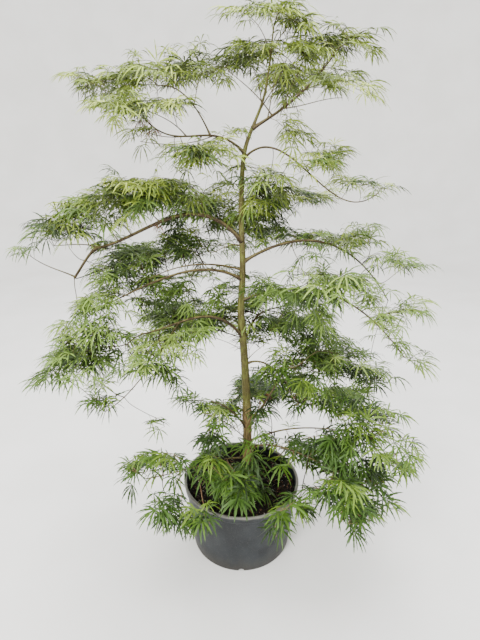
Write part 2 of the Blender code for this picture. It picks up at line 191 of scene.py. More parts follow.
# One row for each thin shoot. It starts at the share `at` of its parent's path, or at that height of
# the trunk, and runs like a bough. A shoot that isn't leafy is dead wood.
Shoot = namedtuple("Shoot", "parent at heading reach shoulder middle end root tip leafy")
SHOOTS = (
    Shoot("leader_right", 0.265, 180, 0.123, 1.577, 1.616, 1.653, 0.0021, 0.0010, True),
    Shoot("trunk", 1.547, 20, 0.081, 1.578, 1.618, 1.682, 0.0022, 0.0010, True),
    Shoot("trunk", 1.570, 200, 0.021, 1.597, 1.626, 1.647, 0.0016, 0.0009, True),
    Shoot("leader_right", 0.203, 20, 0.030, 1.570, 1.630, 1.690, 0.0018, 0.0009, True),
    Shoot("leader_right", 0.400, 10, 0.045, 1.590, 1.625, 1.654, 0.0018, 0.0009, True),
    Shoot("leader_right", 0.400, 0, 0.162, 1.564, 1.577, 1.585, 0.0018, 0.0009, True),
    Shoot("leader_right", 0.275, 330, 0.096, 1.559, 1.586, 1.607, 0.0016, 0.0009, True),
    Shoot("leader_right", 0.760, 350, 0.079, 1.650, 1.685, 1.710, 0.0018, 0.0009, True),
    Shoot("leader_right", 0.662, 340, 0.108, 1.613, 1.621, 1.620, 0.0017, 0.0009, True),
    Shoot("trunk", 1.690, 170, 0.053, 1.725, 1.757, 1.778, 0.0015, 0.0009, True),
    Shoot("trunk", 1.695, 10, 0.084, 1.730, 1.762, 1.782, 0.0015, 0.0009, True),
    Shoot("upper_left_fork", 0.312, 30, 0.021, 1.580, 1.610, 1.637, 0.0015, 0.0009, True),
    Shoot("upper_left", 0.570, 175, 0.109, 1.513, 1.536, 1.555, 0.0019, 0.0010, True),
    Shoot("upper_left", 0.573, 185, 0.120, 1.484, 1.487, 1.501, 0.0016, 0.0009, True),
    Shoot("upper_left", 0.975, 180, 0.105, 1.552, 1.579, 1.606, 0.0017, 0.0009, True),
    Shoot("upper_left", 0.305, 182, 0.208, 1.472, 1.465, 1.473, 0.0016, 0.0011, False),
    Shoot("left_long", 0.983, 180, 0.135, 1.183, 1.184, 1.180, 0.0024, 0.0012, True),
    Shoot("left_long_stub", 0.970, 180, 0.124, 1.100, 1.118, 1.149, 0.0024, 0.0013, True),
    Shoot("left_long_stub", 0.490, 178, 0.047, 1.138, 1.150, 1.181, 0.0013, 0.0009, True),
    Shoot("left_long", 0.848, 170, 0.037, 1.208, 1.230, 1.250, 0.0016, 0.0009, True),
    Shoot("left_long", 0.755, 165, 0.082, 1.236, 1.260, 1.274, 0.0018, 0.0010, True),
    Shoot("left_long", 0.562, 175, 0.090, 1.273, 1.306, 1.321, 0.0019, 0.0010, True),
    Shoot("left_long", 0.357, 160, 0.112, 1.302, 1.331, 1.345, 0.0019, 0.0010, True),
    Shoot("left_long", 0.260, 150, 0.038, 1.300, 1.326, 1.346, 0.0018, 0.0010, True),
    Shoot("trunk", 1.165, 185, 0.098, 1.172, 1.163, 1.147, 0.0024, 0.0011, True),
    Shoot("trunk", 1.090, 184, 0.293, 1.107, 1.107, 1.067, 0.0040, 0.0016, True),
    Shoot("right_long", 0.300, 350, 0.038, 1.150, 1.125, 1.087, 0.0015, 0.0009, True),
    Shoot("right_long", 0.870, 0, 0.091, 1.030, 1.047, 1.078, 0.0014, 0.0009, True),
    Shoot("trunk", 0.759, 20, 0.070, 0.778, 0.798, 0.816, 0.0018, 0.0009, True),
    Shoot("right_rising", 0.907, 340, 0.099, 0.775, 0.812, 0.844, 0.0022, 0.0011, True),
    Shoot("trunk", 0.441, 200, 0.130, 0.481, 0.532, 0.571, 0.0022, 0.0010, True),
)

# ---------------------------------------------------------------- sizes of bark, twigs and leaves

TRUNK_SIDES = 40
TRUNK_RINGS = 460
TRUNK_SUNK = 0.012
BOUGH_SIDES = 16
BOUGH_RING_STEP = 0.004
BOUGH_SHARE = 0.86
COLLAR_SWELL = 0.60
COLLAR_LENGTH = 0.011

# Bark relief, as depths against the limb's radius. Waves have the most turns round the limb, the
# finest length along it and a count.
LONG_RIDGES = (9, 0.090, 14)
BARK_BUMPS = (12, 0.016, 18)
BARK_PORES = (14, 0.009, 16)
WAVE_PITCHES = (0.3, 1.0)
WAVE_PEAK = 1.6
PORE_LEVEL = 0.62
SCAR_GAPS = (0.035, 0.085)
SCAR_COUNT = 40
SCAR_WIDTH = 0.0022
RIDGE_DEPTH = 0.022
BUMP_DEPTH = 0.012
PORE_DEPTH = 0.10
SCAR_DEPTH = 0.035

# How old the bark is, from 0 to 1: old at the trunk's foot and where it was grafted.
OLD_BARK_TOP = 0.62
OLD_BARK_FADE = 0.25
FOOT_AGE = 0.75
UNION_AGE = 0.5
UNION_AGE_LENGTH = 0.045
BOUGH_AGE = 0.1

BUD_STEP = 0.050
BUD_FROM = 0.22
TRUNK_BUD_FROM = 0.30
BUD_LIFT = 0.8
END_BUD_LIFT = 0.1
BUD_PATH_STEPS = 100
TARGET_STEP = 0.036
TARGET_TOP = 0.003
TARGET_INSET = 0.034
TARGET_SPREAD = 0.42
THIN_PAD = 0.012
THICK_PAD = 0.060
SECOND_LAYER = 0.55
SECOND_DEPTH = 0.5
SECOND_SPREAD = 0.3
RAY_START = 0.01
LEAST_DRAWN_IN = 0.3
SPRIG_FLATNESS = 0.4
TWIG_STEP = 0.011
REACHED = 0.018
GROWTH_ROUNDS = 120
KEEPING_ON = 0.62
RISING = 0.08
GROWTH_WOBBLE = 0.35
CROWDED = 0.45
MOST_SHOOTS = 3
TIP_STEPS = 3
TIP_DROOP = 0.20
TIP_LEVEL = 0.7
TIP_RADIUS = 0.0007
PIPE_POWER = 2.25
PIPE_GAIN = 1.012
TWIG_SHARE = 0.80
TWIG_SIDES = 5
TWIG_SIDEWAYS = (0.37, 0.21, 0.90)
BRANCH_COLLAR = 1.15
YOUNG_RADIUS = 0.0013
PALE_BELOW = 0.60

# How closely a pad is filled, as the places per area against a plain pad's 1.
FULLNESS = {
    "back_lower": 0.70,
    "back_middle": 0.70,
    "crown_back": 1.34,
    "crown_left": 1.75,
    "crown_right": 2.00,
    "crown_shelf": 1.00,
    "crown_top": 1.40,
    "dome_back": 0.80,
    "left_fall": 1.10,
    "left_high": 2.30,
    "left_lower": 1.00,
    "left_lower_rear": 1.70,
    "left_middle": 0.90,
    "left_middle_rear": 1.20,
    "left_rear": 1.70,
    "left_sprig": 1.90,
    "left_tip": 2.00,
    "left_under": 0.20,
    "low_front": 0.85,
    "low_left": 0.75,
    "low_right": 0.80,
    "over_soil": 0.25,
    "pot_front": 0.26,
    "pot_left": 0.45,
    "right_fall": 0.50,
    "right_front": 0.80,
    "right_high": 1.20,
    "right_low_tip": 0.50,
    "right_skirt": 0.80,
    "right_tip": 0.55,
    "right_under": 0.95,
    "upper_back": 0.72,
    "upper_left_front": 3.20,
    "upper_left_high": 3.40,
    "upper_left_low": 2.60,
    "upper_rear_left": 0.90,
    "upper_right_inner": 1.80,
    "upper_right_outer": 0.28,
}

# Gaps in the crown, as boxes in the camera's frame of 480 by 640: left, top, right, bottom. Seen
# by the camera, no twig ends in one and no leaf has its middle in one, though a limb or a twig on
# its way further out may cross it.
SKY_WINDOWS = (
    (325, 0, 345, 12), (344, 0, 380, 26), (214, 12, 236, 30), (262, 13, 282, 36),
    (242, 22, 262, 36), (322, 27, 336, 33), (205, 28, 232, 46), (278, 28, 292, 44),
    (279, 44, 289, 56), (100, 50, 165, 60), (322, 52, 340, 63), (345, 52, 372, 70),
    (106, 60, 122, 72), (50, 74, 72, 88), (228, 74, 254, 100), (308, 80, 326, 92),
    (46, 84, 76, 104), (180, 84, 194, 96), (198, 84, 222, 128), (132, 86, 178, 98),
    (302, 91, 345, 97), (334, 91, 356, 102), (356, 92, 370, 100), (305, 104, 350, 128),
    (78, 106, 100, 122), (146, 108, 180, 118), (150, 114, 190, 128), (252, 128, 275, 166),
    (160, 134, 210, 142), (298, 136, 312, 148), (276, 150, 290, 168), (345, 150, 395, 172),
    (40, 160, 84, 196), (84, 160, 100, 186), (112, 160, 172, 176), (165, 166, 200, 175),
    (282, 166, 298, 180), (300, 166, 318, 182), (172, 168, 222, 177), (200, 178, 218, 188),
    (304, 184, 330, 192), (392, 186, 420, 198), (338, 188, 362, 210), (0, 196, 22, 242),
    (20, 196, 42, 216), (36, 202, 56, 216), (112, 204, 124, 222), (290, 208, 345, 226),
    (196, 218, 210, 232), (330, 222, 352, 234), (28, 226, 42, 244), (128, 227, 160, 238),
    (220, 228, 234, 246), (372, 230, 400, 240), (66, 242, 90, 254), (374, 244, 394, 256),
    (255, 248, 285, 260), (300, 248, 328, 260), (325, 256, 372, 272), (185, 258, 225, 266),
    (0, 262, 24, 300), (164, 262, 184, 276), (384, 262, 398, 272), (22, 264, 60, 300),
    (412, 268, 440, 292), (270, 270, 300, 282), (56, 276, 92, 294), (194, 276, 210, 300),
    (382, 278, 400, 298), (50, 290, 76, 318), (120, 290, 136, 300), (384, 292, 404, 308),
    (262, 299, 284, 314), (298, 300, 312, 314), (436, 300, 480, 420), (122, 302, 136, 336),
    (335, 308, 366, 336), (414, 314, 436, 332), (20, 318, 50, 340), (138, 320, 152, 336),
    (364, 322, 380, 350), (400, 322, 432, 347), (20, 340, 52, 356), (112, 340, 126, 378),
    (205, 340, 236, 390), (184, 342, 206, 360), (248, 345, 268, 366), (366, 352, 386, 366),
    (140, 354, 156, 366), (8, 356, 40, 376), (178, 362, 205, 388), (388, 362, 406, 380),
    (70, 372, 86, 386), (340, 372, 356, 386), (6, 376, 24, 396), (100, 378, 126, 394),
    (312, 378, 350, 387), (118, 380, 148, 450), (148, 382, 172, 404), (372, 384, 400, 404),
    (66, 386, 94, 400), (196, 386, 232, 400), (0, 392, 70, 470), (276, 400, 290, 412),
    (394, 402, 412, 416), (160, 404, 196, 414), (294, 408, 330, 434), (56, 412, 120, 470),
    (166, 414, 198, 436), (188, 414, 206, 436), (264, 414, 290, 434), (398, 418, 422, 438),
    (140, 436, 196, 452), (384, 440, 408, 450), (186, 444, 202, 464), (352, 444, 372, 464),
    (256, 446, 275, 470), (222, 450, 246, 464), (300, 466, 322, 484), (100, 470, 124, 500),
    (155, 470, 166, 492), (156, 470, 172, 494), (284, 470, 296, 486), (258, 474, 276, 494),
    (282, 476, 300, 490), (400, 476, 440, 600), (130, 478, 170, 492), (182, 478, 200, 500),
    (386, 478, 400, 500), (176, 488, 214, 504), (186, 490, 204, 502), (132, 496, 150, 514),
    (258, 496, 274, 512), (320, 496, 334, 512), (100, 500, 132, 600), (250, 500, 272, 516),
    (312, 504, 326, 535), (214, 508, 232, 528), (316, 508, 334, 524), (240, 514, 254, 532),
    (384, 514, 400, 545), (214, 515, 252, 530), (130, 516, 146, 540), (290, 516, 304, 546),
    (368, 518, 392, 545), (328, 524, 354, 546), (148, 526, 176, 556), (205, 530, 252, 562),
    (176, 532, 250, 600), (130, 540, 148, 600), (244, 540, 290, 560), (300, 542, 400, 600),
    (250, 555, 300, 600), (148, 556, 178, 600),
)

# Sprigs outside the pads. The middle of each is where the line of sight through a place of the
# camera's frame, across and down, meets the plane of this y. Then come its spread and its count.
SPRIGS = (
    (248, 8, 0.02, 0.022, 4), (252, 10, 0.00, 0.020, 3), (290, 14, 0.00, 0.028, 5),
    (246, 16, 0.00, 0.022, 3), (292, 20, 0.00, 0.026, 5), (310, 20, 0.00, 0.026, 5),
    (298, 24, 0.00, 0.026, 5), (300, 26, 0.00, 0.030, 6), (350, 30, 0.00, 0.024, 4),
    (344, 32, 0.00, 0.024, 4), (352, 38, 0.00, 0.024, 4), (310, 40, 0.00, 0.025, 3),
    (270, 44, 0.00, 0.026, 5), (238, 54, 0.00, 0.026, 5), (266, 56, 0.00, 0.026, 5),
    (303, 58, 0.00, 0.030, 4), (148, 62, 0.03, 0.024, 4), (205, 62, 0.05, 0.026, 4),
    (244, 62, 0.00, 0.024, 4), (264, 62, 0.00, 0.024, 4), (196, 66, 0.06, 0.030, 6),
    (208, 67, 0.06, 0.030, 6), (204, 70, 0.02, 0.026, 5), (212, 70, 0.05, 0.026, 5),
    (222, 70, 0.02, 0.024, 4), (285, 70, 0.00, 0.022, 3), (336, 70, -0.05, 0.026, 4),
    (76, 72, 0.04, 0.020, 3), (160, 72, 0.03, 0.028, 6), (216, 72, 0.05, 0.026, 4),
    (214, 75, 0.06, 0.024, 4), (166, 76, 0.03, 0.024, 4), (80, 79, 0.04, 0.022, 3),
    (96, 86, 0.04, 0.022, 3), (350, 86, -0.08, 0.024, 5), (101, 88, 0.04, 0.026, 4),
    (355, 90, -0.08, 0.022, 3), (184, 103, 0.00, 0.026, 5), (160, 104, 0.00, 0.026, 4),
    (143, 127, 0.00, 0.030, 5), (288, 128, 0.00, 0.022, 4), (296, 128, 0.00, 0.024, 5),
    (159, 131, 0.02, 0.024, 3), (218, 134, 0.00, 0.024, 4), (230, 135, 0.02, 0.024, 4),
    (222, 140, 0.02, 0.024, 4), (206, 146, 0.00, 0.026, 4), (330, 150, -0.03, 0.024, 4),
    (334, 155, -0.03, 0.026, 4), (314, 156, -0.03, 0.028, 6), (318, 164, -0.03, 0.026, 5),
    (260, 166, 0.03, 0.026, 5), (342, 166, -0.03, 0.024, 5), (247, 168, 0.03, 0.022, 3),
    (264, 168, 0.03, 0.024, 4), (264, 174, 0.03, 0.026, 5), (124, 180, 0.00, 0.024, 4),
    (140, 180, 0.00, 0.024, 4), (258, 180, 0.04, 0.032, 7), (118, 182, 0.00, 0.024, 3),
    (108, 184, 0.00, 0.024, 3), (160, 184, 0.00, 0.024, 4), (180, 184, 0.00, 0.024, 3),
    (384, 184, -0.07, 0.020, 4), (228, 186, 0.03, 0.026, 4), (178, 188, 0.00, 0.022, 3),
    (250, 190, 0.03, 0.026, 5), (374, 190, -0.07, 0.020, 5), (380, 190, -0.07, 0.020, 5),
    (200, 191, 0.00, 0.028, 4), (170, 198, 0.00, 0.024, 3), (165, 200, 0.02, 0.026, 4),
    (254, 203, 0.00, 0.028, 5), (128, 206, 0.00, 0.024, 4), (150, 206, 0.00, 0.028, 5),
    (257, 206, 0.05, 0.034, 9), (250, 210, 0.08, 0.030, 6), (97, 214, -0.02, 0.026, 4),
    (268, 214, 0.10, 0.030, 6), (94, 218, -0.02, 0.024, 4), (104, 222, -0.02, 0.026, 5),
    (266, 222, 0.08, 0.026, 4), (95, 226, -0.02, 0.026, 4), (57, 228, -0.02, 0.026, 4),
    (188, 228, 0.05, 0.024, 3), (90, 230, -0.03, 0.028, 4), (288, 230, 0.10, 0.028, 5),
    (66, 232, -0.02, 0.026, 5), (78, 232, -0.02, 0.030, 5), (276, 232, 0.05, 0.026, 4),
    (356, 232, 0.05, 0.024, 4), (60, 236, -0.02, 0.030, 5), (287, 236, 0.08, 0.024, 4),
    (282, 240, 0.05, 0.026, 4), (340, 240, 0.05, 0.022, 3), (366, 240, 0.03, 0.022, 4),
    (60, 241, -0.03, 0.024, 3), (112, 244, 0.03, 0.026, 5), (340, 244, 0.03, 0.026, 4),
    (368, 244, 0.03, 0.024, 4), (358, 248, 0.02, 0.022, 3), (110, 250, 0.04, 0.024, 4),
    (340, 250, 0.02, 0.024, 4), (20, 252, -0.02, 0.016, 3), (112, 252, 0.03, 0.022, 3),
    (20, 254, -0.01, 0.018, 4), (404, 262, -0.07, 0.026, 5), (386, 263, -0.06, 0.018, 3),
    (95, 266, -0.02, 0.026, 4), (222, 266, 0.05, 0.026, 5), (405, 266, -0.08, 0.020, 3),
    (410, 268, -0.08, 0.022, 4), (140, 270, 0.04, 0.026, 4), (144, 275, 0.05, 0.030, 6),
    (124, 276, 0.05, 0.030, 5), (325, 278, -0.05, 0.028, 5), (343, 279, -0.05, 0.028, 5),
    (240, 280, 0.06, 0.024, 4), (140, 284, 0.04, 0.026, 4), (356, 288, -0.10, 0.026, 4),
    (234, 290, 0.05, 0.022, 4), (110, 294, -0.10, 0.028, 5), (228, 298, 0.04, 0.026, 4),
    (370, 298, -0.12, 0.026, 4), (322, 300, -0.10, 0.028, 5), (380, 302, -0.10, 0.024, 4),
    (108, 303, -0.10, 0.030, 6), (404, 304, -0.15, 0.024, 5), (112, 305, -0.15, 0.026, 4),
    (140, 305, -0.05, 0.026, 4), (410, 305, -0.12, 0.022, 3), (92, 306, -0.15, 0.028, 6),
    (146, 306, -0.05, 0.026, 4), (248, 306, 0.05, 0.028, 6), (290, 306, -0.02, 0.026, 5),
    (322, 306, -0.10, 0.026, 5), (86, 310, -0.15, 0.026, 4), (114, 312, -0.12, 0.026, 4),
    (228, 312, 0.05, 0.032, 8), (76, 320, -0.15, 0.026, 4), (120, 320, -0.15, 0.024, 4),
    (240, 320, 0.10, 0.030, 4), (232, 322, 0.03, 0.028, 5), (256, 322, 0.05, 0.030, 6),
    (262, 322, 0.10, 0.030, 4), (122, 324, -0.15, 0.024, 4), (282, 324, 0.10, 0.030, 5),
    (104, 326, -0.15, 0.028, 6), (384, 326, -0.12, 0.026, 5), (388, 328, -0.13, 0.028, 6),
    (78, 330, -0.18, 0.022, 3), (119, 330, -0.15, 0.022, 3), (132, 334, -0.20, 0.028, 5),
    (218, 334, 0.03, 0.022, 3), (266, 334, 0.05, 0.030, 6), (386, 334, -0.14, 0.028, 6),
    (198, 336, 0.10, 0.026, 5), (255, 336, 0.08, 0.028, 5), (280, 338, 0.08, 0.030, 4),
    (278, 340, 0.08, 0.024, 3), (305, 340, 0.08, 0.030, 5), (392, 340, -0.15, 0.026, 5),
    (250, 344, 0.08, 0.024, 3), (132, 345, -0.20, 0.026, 4), (344, 346, 0.02, 0.028, 6),
    (334, 350, 0.05, 0.030, 6), (103, 354, -0.20, 0.026, 4), (305, 355, 0.05, 0.026, 4),
    (100, 356, -0.20, 0.026, 5), (98, 358, -0.20, 0.024, 5), (286, 358, 0.05, 0.028, 4),
    (310, 358, 0.05, 0.030, 5), (414, 358, -0.20, 0.022, 5), (80, 362, -0.20, 0.026, 4),
    (408, 362, -0.20, 0.022, 3), (432, 362, -0.20, 0.020, 3), (316, 364, 0.05, 0.028, 5),
    (130, 366, -0.20, 0.026, 4), (290, 366, 0.05, 0.030, 4), (134, 368, -0.20, 0.026, 5),
    (168, 368, -0.20, 0.024, 4), (268, 370, -0.02, 0.022, 3), (64, 372, -0.20, 0.026, 4),
    (270, 372, 0.02, 0.028, 5), (136, 374, -0.20, 0.028, 4), (268, 374, 0.03, 0.026, 4),
    (132, 376, -0.22, 0.026, 4), (286, 378, 0.05, 0.026, 4), (330, 378, 0.05, 0.030, 4),
    (170, 380, -0.20, 0.026, 4), (40, 384, -0.20, 0.022, 4), (328, 386, 0.06, 0.028, 4),
    (94, 393, -0.20, 0.020, 3), (194, 396, -0.08, 0.018, 2), (310, 396, 0.10, 0.030, 6),
    (366, 396, -0.05, 0.024, 4), (102, 398, -0.20, 0.024, 5), (292, 398, 0.05, 0.030, 5),
    (312, 398, 0.05, 0.034, 7), (370, 398, 0.00, 0.026, 5), (290, 400, 0.10, 0.024, 3),
    (320, 400, 0.05, 0.028, 3), (372, 400, -0.05, 0.024, 4), (112, 402, -0.20, 0.024, 4),
    (254, 402, 0.02, 0.026, 5), (205, 404, 0.02, 0.026, 5), (258, 404, 0.00, 0.024, 3),
    (107, 405, -0.20, 0.022, 4), (222, 408, 0.00, 0.030, 7), (236, 408, 0.06, 0.024, 3),
    (208, 410, 0.00, 0.026, 5), (378, 410, -0.05, 0.024, 4), (230, 411, 0.05, 0.030, 8),
    (172, 412, -0.15, 0.014, 2), (210, 412, 0.05, 0.026, 6), (323, 412, 0.05, 0.024, 4),
    (212, 414, -0.05, 0.026, 5), (158, 420, -0.17, 0.018, 3), (256, 420, 0.00, 0.022, 3),
    (384, 420, -0.05, 0.028, 6), (218, 424, -0.03, 0.028, 6), (380, 424, -0.05, 0.028, 5),
    (388, 424, -0.08, 0.026, 4), (220, 430, -0.05, 0.026, 5), (222, 430, -0.03, 0.024, 4),
    (390, 430, -0.08, 0.024, 5), (402, 440, -0.08, 0.024, 4), (286, 442, -0.02, 0.028, 4),
    (250, 444, -0.05, 0.020, 3), (174, 446, -0.10, 0.024, 4), (312, 447, -0.05, 0.028, 5),
    (285, 448, -0.05, 0.030, 6), (412, 448, -0.06, 0.022, 4), (152, 450, -0.06, 0.028, 5),
    (338, 450, -0.10, 0.028, 6), (172, 452, -0.10, 0.026, 5), (292, 452, -0.06, 0.026, 4),
    (212, 456, -0.08, 0.024, 3), (336, 456, -0.12, 0.030, 5), (350, 456, -0.10, 0.030, 6),
    (398, 456, -0.08, 0.028, 6), (414, 458, -0.06, 0.022, 4), (212, 460, -0.05, 0.022, 3),
    (132, 462, -0.07, 0.026, 5), (284, 462, -0.08, 0.024, 4), (298, 462, -0.08, 0.024, 4),
    (392, 462, -0.06, 0.026, 5), (348, 464, -0.14, 0.030, 5), (396, 465, -0.10, 0.028, 6),
    (130, 470, -0.12, 0.022, 4), (208, 470, -0.10, 0.024, 4), (282, 470, -0.10, 0.028, 5),
    (330, 470, -0.12, 0.028, 5), (400, 470, -0.08, 0.026, 5), (198, 478, -0.12, 0.026, 4),
    (226, 478, -0.15, 0.028, 6), (352, 478, -0.14, 0.030, 6), (396, 478, -0.12, 0.022, 3),
    (342, 480, -0.12, 0.028, 5), (244, 482, -0.17, 0.028, 6), (260, 484, -0.08, 0.024, 4),
    (378, 486, -0.20, 0.026, 4), (370, 487, -0.20, 0.028, 5), (306, 488, -0.15, 0.026, 4),
    (303, 490, -0.15, 0.028, 6), (364, 492, -0.18, 0.028, 6), (380, 492, -0.20, 0.028, 5),
    (308, 496, -0.18, 0.026, 4), (172, 498, -0.22, 0.024, 4), (154, 500, -0.22, 0.020, 3),
    (158, 500, -0.24, 0.028, 6), (386, 500, -0.22, 0.028, 6), (160, 506, -0.24, 0.022, 3),
    (178, 506, -0.24, 0.026, 4), (278, 508, -0.26, 0.028, 5), (208, 512, -0.26, 0.024, 4),
    (380, 512, -0.25, 0.026, 4), (176, 514, -0.26, 0.026, 5), (272, 516, -0.27, 0.026, 5),
    (204, 520, -0.27, 0.020, 4), (370, 526, -0.26, 0.022, 4), (360, 527, -0.28, 0.028, 5),
    (276, 528, -0.27, 0.022, 4),
)

LEAFY_STEPS = 10
LEAF_EVERY = 2
LEAF_HEIGHTS = (0.35, 0.75, 1.15, 1.65)
LEAF_LENGTHS = (0.075, 0.064, 0.061, 0.058)
LOBE_HALF_WIDTHS = (0.052, 0.043, 0.039, 0.038)
LEAF_SPREAD = 0.17
LEAST_DROOP = 0.65
MOST_DROOP = 1.45
TIP_HANG = 0.45
HANGING_STEPS = 2
# A stalk's direction: shares of the twig's own, of sideways, of upwards and of away from the trunk.
STALK_AHEAD = 0.65
STALK_SIDEWAYS = 0.70
STALK_UP = 0.16
STALK_SCATTER = 0.20
TIP_STALK_UP = 0.1
TIP_STALK_SCATTER = 0.15
OUTWARDS = 0.45
PETIOLE_SHARE = 0.42
PETIOLE_RADIUS = 0.00055
PETIOLE_RANGE = (0.7, 1.2)
PETIOLE_ARCH = 0.10
PETIOLE_SIDES = 3
PETIOLE_SIDEWAYS = (0.21, 0.37, 0.90)
LEAF_RANGE = (0.6, 1.35)
LEAF_MIDDLE = 0.5
LEAF_LEVEL = 0.6
LEAF_DIP = 0.12
LEAF_TILT = 0.22
LEAF_CUP = 0.34
LOBE_TURN = 0.07
LOBE_ROLL = 0.45
LOBE_DROOP_RANGE = (0.75, 1.25)
LOBE_LENGTH_RANGE = (0.88, 1.10)
LOBE_ANGLES = (0, 31, -31, 63, -63, 102, -102)
LOBE_LENGTHS = (1.0, 0.95, 0.95, 0.80, 0.80, 0.52, 0.52)
# A lobe's outline: (share of its length, share of its half width), with two pairs of teeth.
LOBE_OUTLINE = (
    (0.00, 0.24),
    (0.20, 0.46),
    (0.42, 1.00),
    (0.48, 0.64),
    (0.68, 0.80),
    (0.73, 0.48),
    (0.87, 0.40),
)
# Withered leaves: the limb that they hang from, the share of its length, and how many they are.
WITHERED = (
    ("left_long", 0.58, 2),
    ("upper_left", 0.90, 3),
    ("upper_left", 0.99, 6),
    ("right_rising", 0.50, 1),
)
WITHERED_LENGTH = 0.036
WITHERED_HANG = 1.7
WITHERED_RANGE = (0.7, 1.2)
WITHERED_SCATTER = 0.03
WITHERED_STALK = 0.4
WITHERED_LEVEL = 0.2
WITHERED_DOWN = 0.8

PROUD_SHARE = 0.028
PROUD_EXTRA = 0.006
LEAF_REACH = 1.05
MOST_TRIANGLES = 190000

# ---------------------------------------------------------------- tones and colours

# A leaf's tone, in screen values, by the band of height that its spray is in; the bands are darker
# low down and lighter high up. The shares of the mix go from the darkest tone of a band to the
# lightest. The darker tones go in part to sprays with more leaves over them, as painted shade.
LEAF_TONES = {
    "low_shade": (28, 42, 14),
    "low_deep": (42, 62, 19),
    "low_middle": (55, 81, 24),
    "low_fresh": (74, 102, 33),
    "low_lime": (99, 125, 42),
    "mid_shade": (42, 57, 22),
    "mid_deep": (62, 82, 32),
    "mid_middle": (82, 105, 43),
    "mid_fresh": (104, 129, 55),
    "mid_lime": (128, 150, 68),
    "high_shade": (55, 66, 22),
    "high_deep": (82, 97, 33),
    "high_middle": (110, 127, 46),
    "high_fresh": (137, 155, 60),
    "high_lime": (165, 180, 82),
}
TONE_MIX = (0.12, 0.28, 0.33, 0.20, 0.07)
TONE_STEPS = (-1, 0, 0, 1)
TONE_BANDS = ((0.52, 0.84), (1.10, 1.50))
# Painted shade: which leaves count as over a leaf, within this radius seen from above and this span of
# heights, and the weight of their count against chance.
SHADOW_RADIUS = 0.045
SHADOW_DEPTHS = (0.008, 0.060)
SHADOW_WEIGHT = 0.35
SHADOW_CHUNKS = 24

# Bark: its top side with painted light, its underside with painted shade, worn patches, and streaks.
BARKS = {
    "trunk": ("trunk_bark", (96, 98, 44), (90, 92, 42), (76, 70, 36), (50, 46, 26)),
    "boughs": ("bough_bark", (104, 98, 54), (26, 20, 14), (50, 40, 26), (34, 27, 19)),
}
# Finishes of one colour: its screen values, roughness and specular level.
PLAIN_FINISHES = {
    "stalks": ("leaf_stalk", (92, 104, 44), 0.6, 0.3),
    "twigs_old": ("twig_old", (46, 36, 26), 0.75, 0.25),
    "twigs_young": ("twig_young", (64, 56, 34), 0.7, 0.25),
    "twigs_pale": ("twig_pale", (132, 104, 78), 0.7, 0.25),
    "withered": ("leaf_withered", (118, 66, 50), 0.8, 0.2),
}
LEAF_ROUGHNESS = 0.55
LEAF_SPECULAR = 0.35

# Shards in the soil: how many, their smallest and largest sizes, how flat, and their two tones.
Chips = namedtuple("Chips", "name count smallest largest flatness dark pale")
CHIPS = (
    Chips("chips_dark", 700, 0.004, 0.013, 0.45, (26, 21, 18), (44, 34, 27)),
    Chips("chips_brown", 330, 0.004, 0.014, 0.35, (66, 48, 37), (96, 72, 56)),
    Chips("chips_pale", 230, 0.0015, 0.0045, 0.7, (158, 148, 134), (200, 194, 182)),
)
CHIP_REACH = 0.975
CHIP_WIDTH = 0.6
CHIP_CORNERS = (0.5, 1.1)
CHIP_TILT = 0.35

# ---------------------------------------------------------------- studio and camera

FLOOR_RADIUS = 4.2
FLOOR_CURVE = 1.4
FLOOR_WALL = 5.2
FLOOR_HUB = 0.3
FLOOR_TURNS = 96
SKY_COLOUR = (0.98, 0.99, 1.0, 1.0)
SKY_STRENGTH = 1.25
# Each light's place, what it looks at, its size across, its power and its colour.
LIGHTS = (
    ("key_left", (-1.9, -3.0, 2.7), (0, 0, 0.9), 1.6, 250, (1.0, 0.99, 0.96)),
    ("fill_right", (2.9, -1.6, 2.2), (0, 0, 0.9), 2.2, 40, (0.98, 0.99, 1.0)),
    ("top_back", (0.6, 2.4, 3.4), (0, 0, 1.2), 2.4, 90, (1, 1, 1)),
    ("overhead", (0.001, 0.3, 5.0), (0, 0.3, 0), 4.5, 330, (1, 1, 1)),
)

CAMERA_AT = (0.0, -1.472, 1.5205)
CAMERA_PITCH = 22.24
CAMERA_YAW = 0.21
CAMERA_LENS = 27.06
CAMERA_SENSOR = 36
CAMERA_RANGE = (0.05, 40)
FRAME_SIZE = (480, 640)


# ---------------------------------------------------------------- arrays and meshes


def unit(vectors):
    """Each vector over its length."""
    return vectors / np.maximum(np.linalg.norm(vectors, axis=-1, keepdims=True), 1e-12)


def heading_vector(heading):
    """The level direction (cos heading, sin heading, 0)."""
    return np.array((cos(radians(heading)), sin(radians(heading)), 0.0))


def linear(red, green, blue):
    """A colour given as screen values of 0 to 255, made linear by the usual power of 2.2."""
    return tuple((value / 255) ** 2.2 for value in (red, green, blue))


def even_turns(sides):
    """The angles of this many equal steps round a circle: 2 pi k / sides."""
    return 2 * pi * np.arange(sides) / sides


def new_piece(name, points, faces, finish, slot, smooth=True):
    """A mesh piece from a grid of points and some arrays of faces, each of one corner count."""
    corners = np.concatenate([group.ravel() for group in faces]).astype(np.int32)
    counts = np.concatenate([np.full(len(group), group.shape[1]) for group in faces])
    starts = np.concatenate(((0,), np.cumsum(counts)[:-1])).astype(np.int32)
    mesh = bpy.data.meshes.new(name)
    mesh.vertices.add(len(points))
    mesh.vertices.foreach_set("co", np.ascontiguousarray(points, np.float32).ravel())
    mesh.loops.add(len(corners))
    mesh.loops.foreach_set("vertex_index", corners)
    mesh.polygons.add(len(counts))
    mesh.polygons.foreach_set("loop_start", starts)
    mesh.polygons.foreach_set("use_smooth", np.full(len(counts), smooth))
    mesh.update(calc_edges=True)
    mesh.materials.append(finish)
    obj = bpy.data.objects.new(name, mesh)
    bpy.context.scene.collection.objects.link(obj)
    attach(obj, BODY)
    return obj


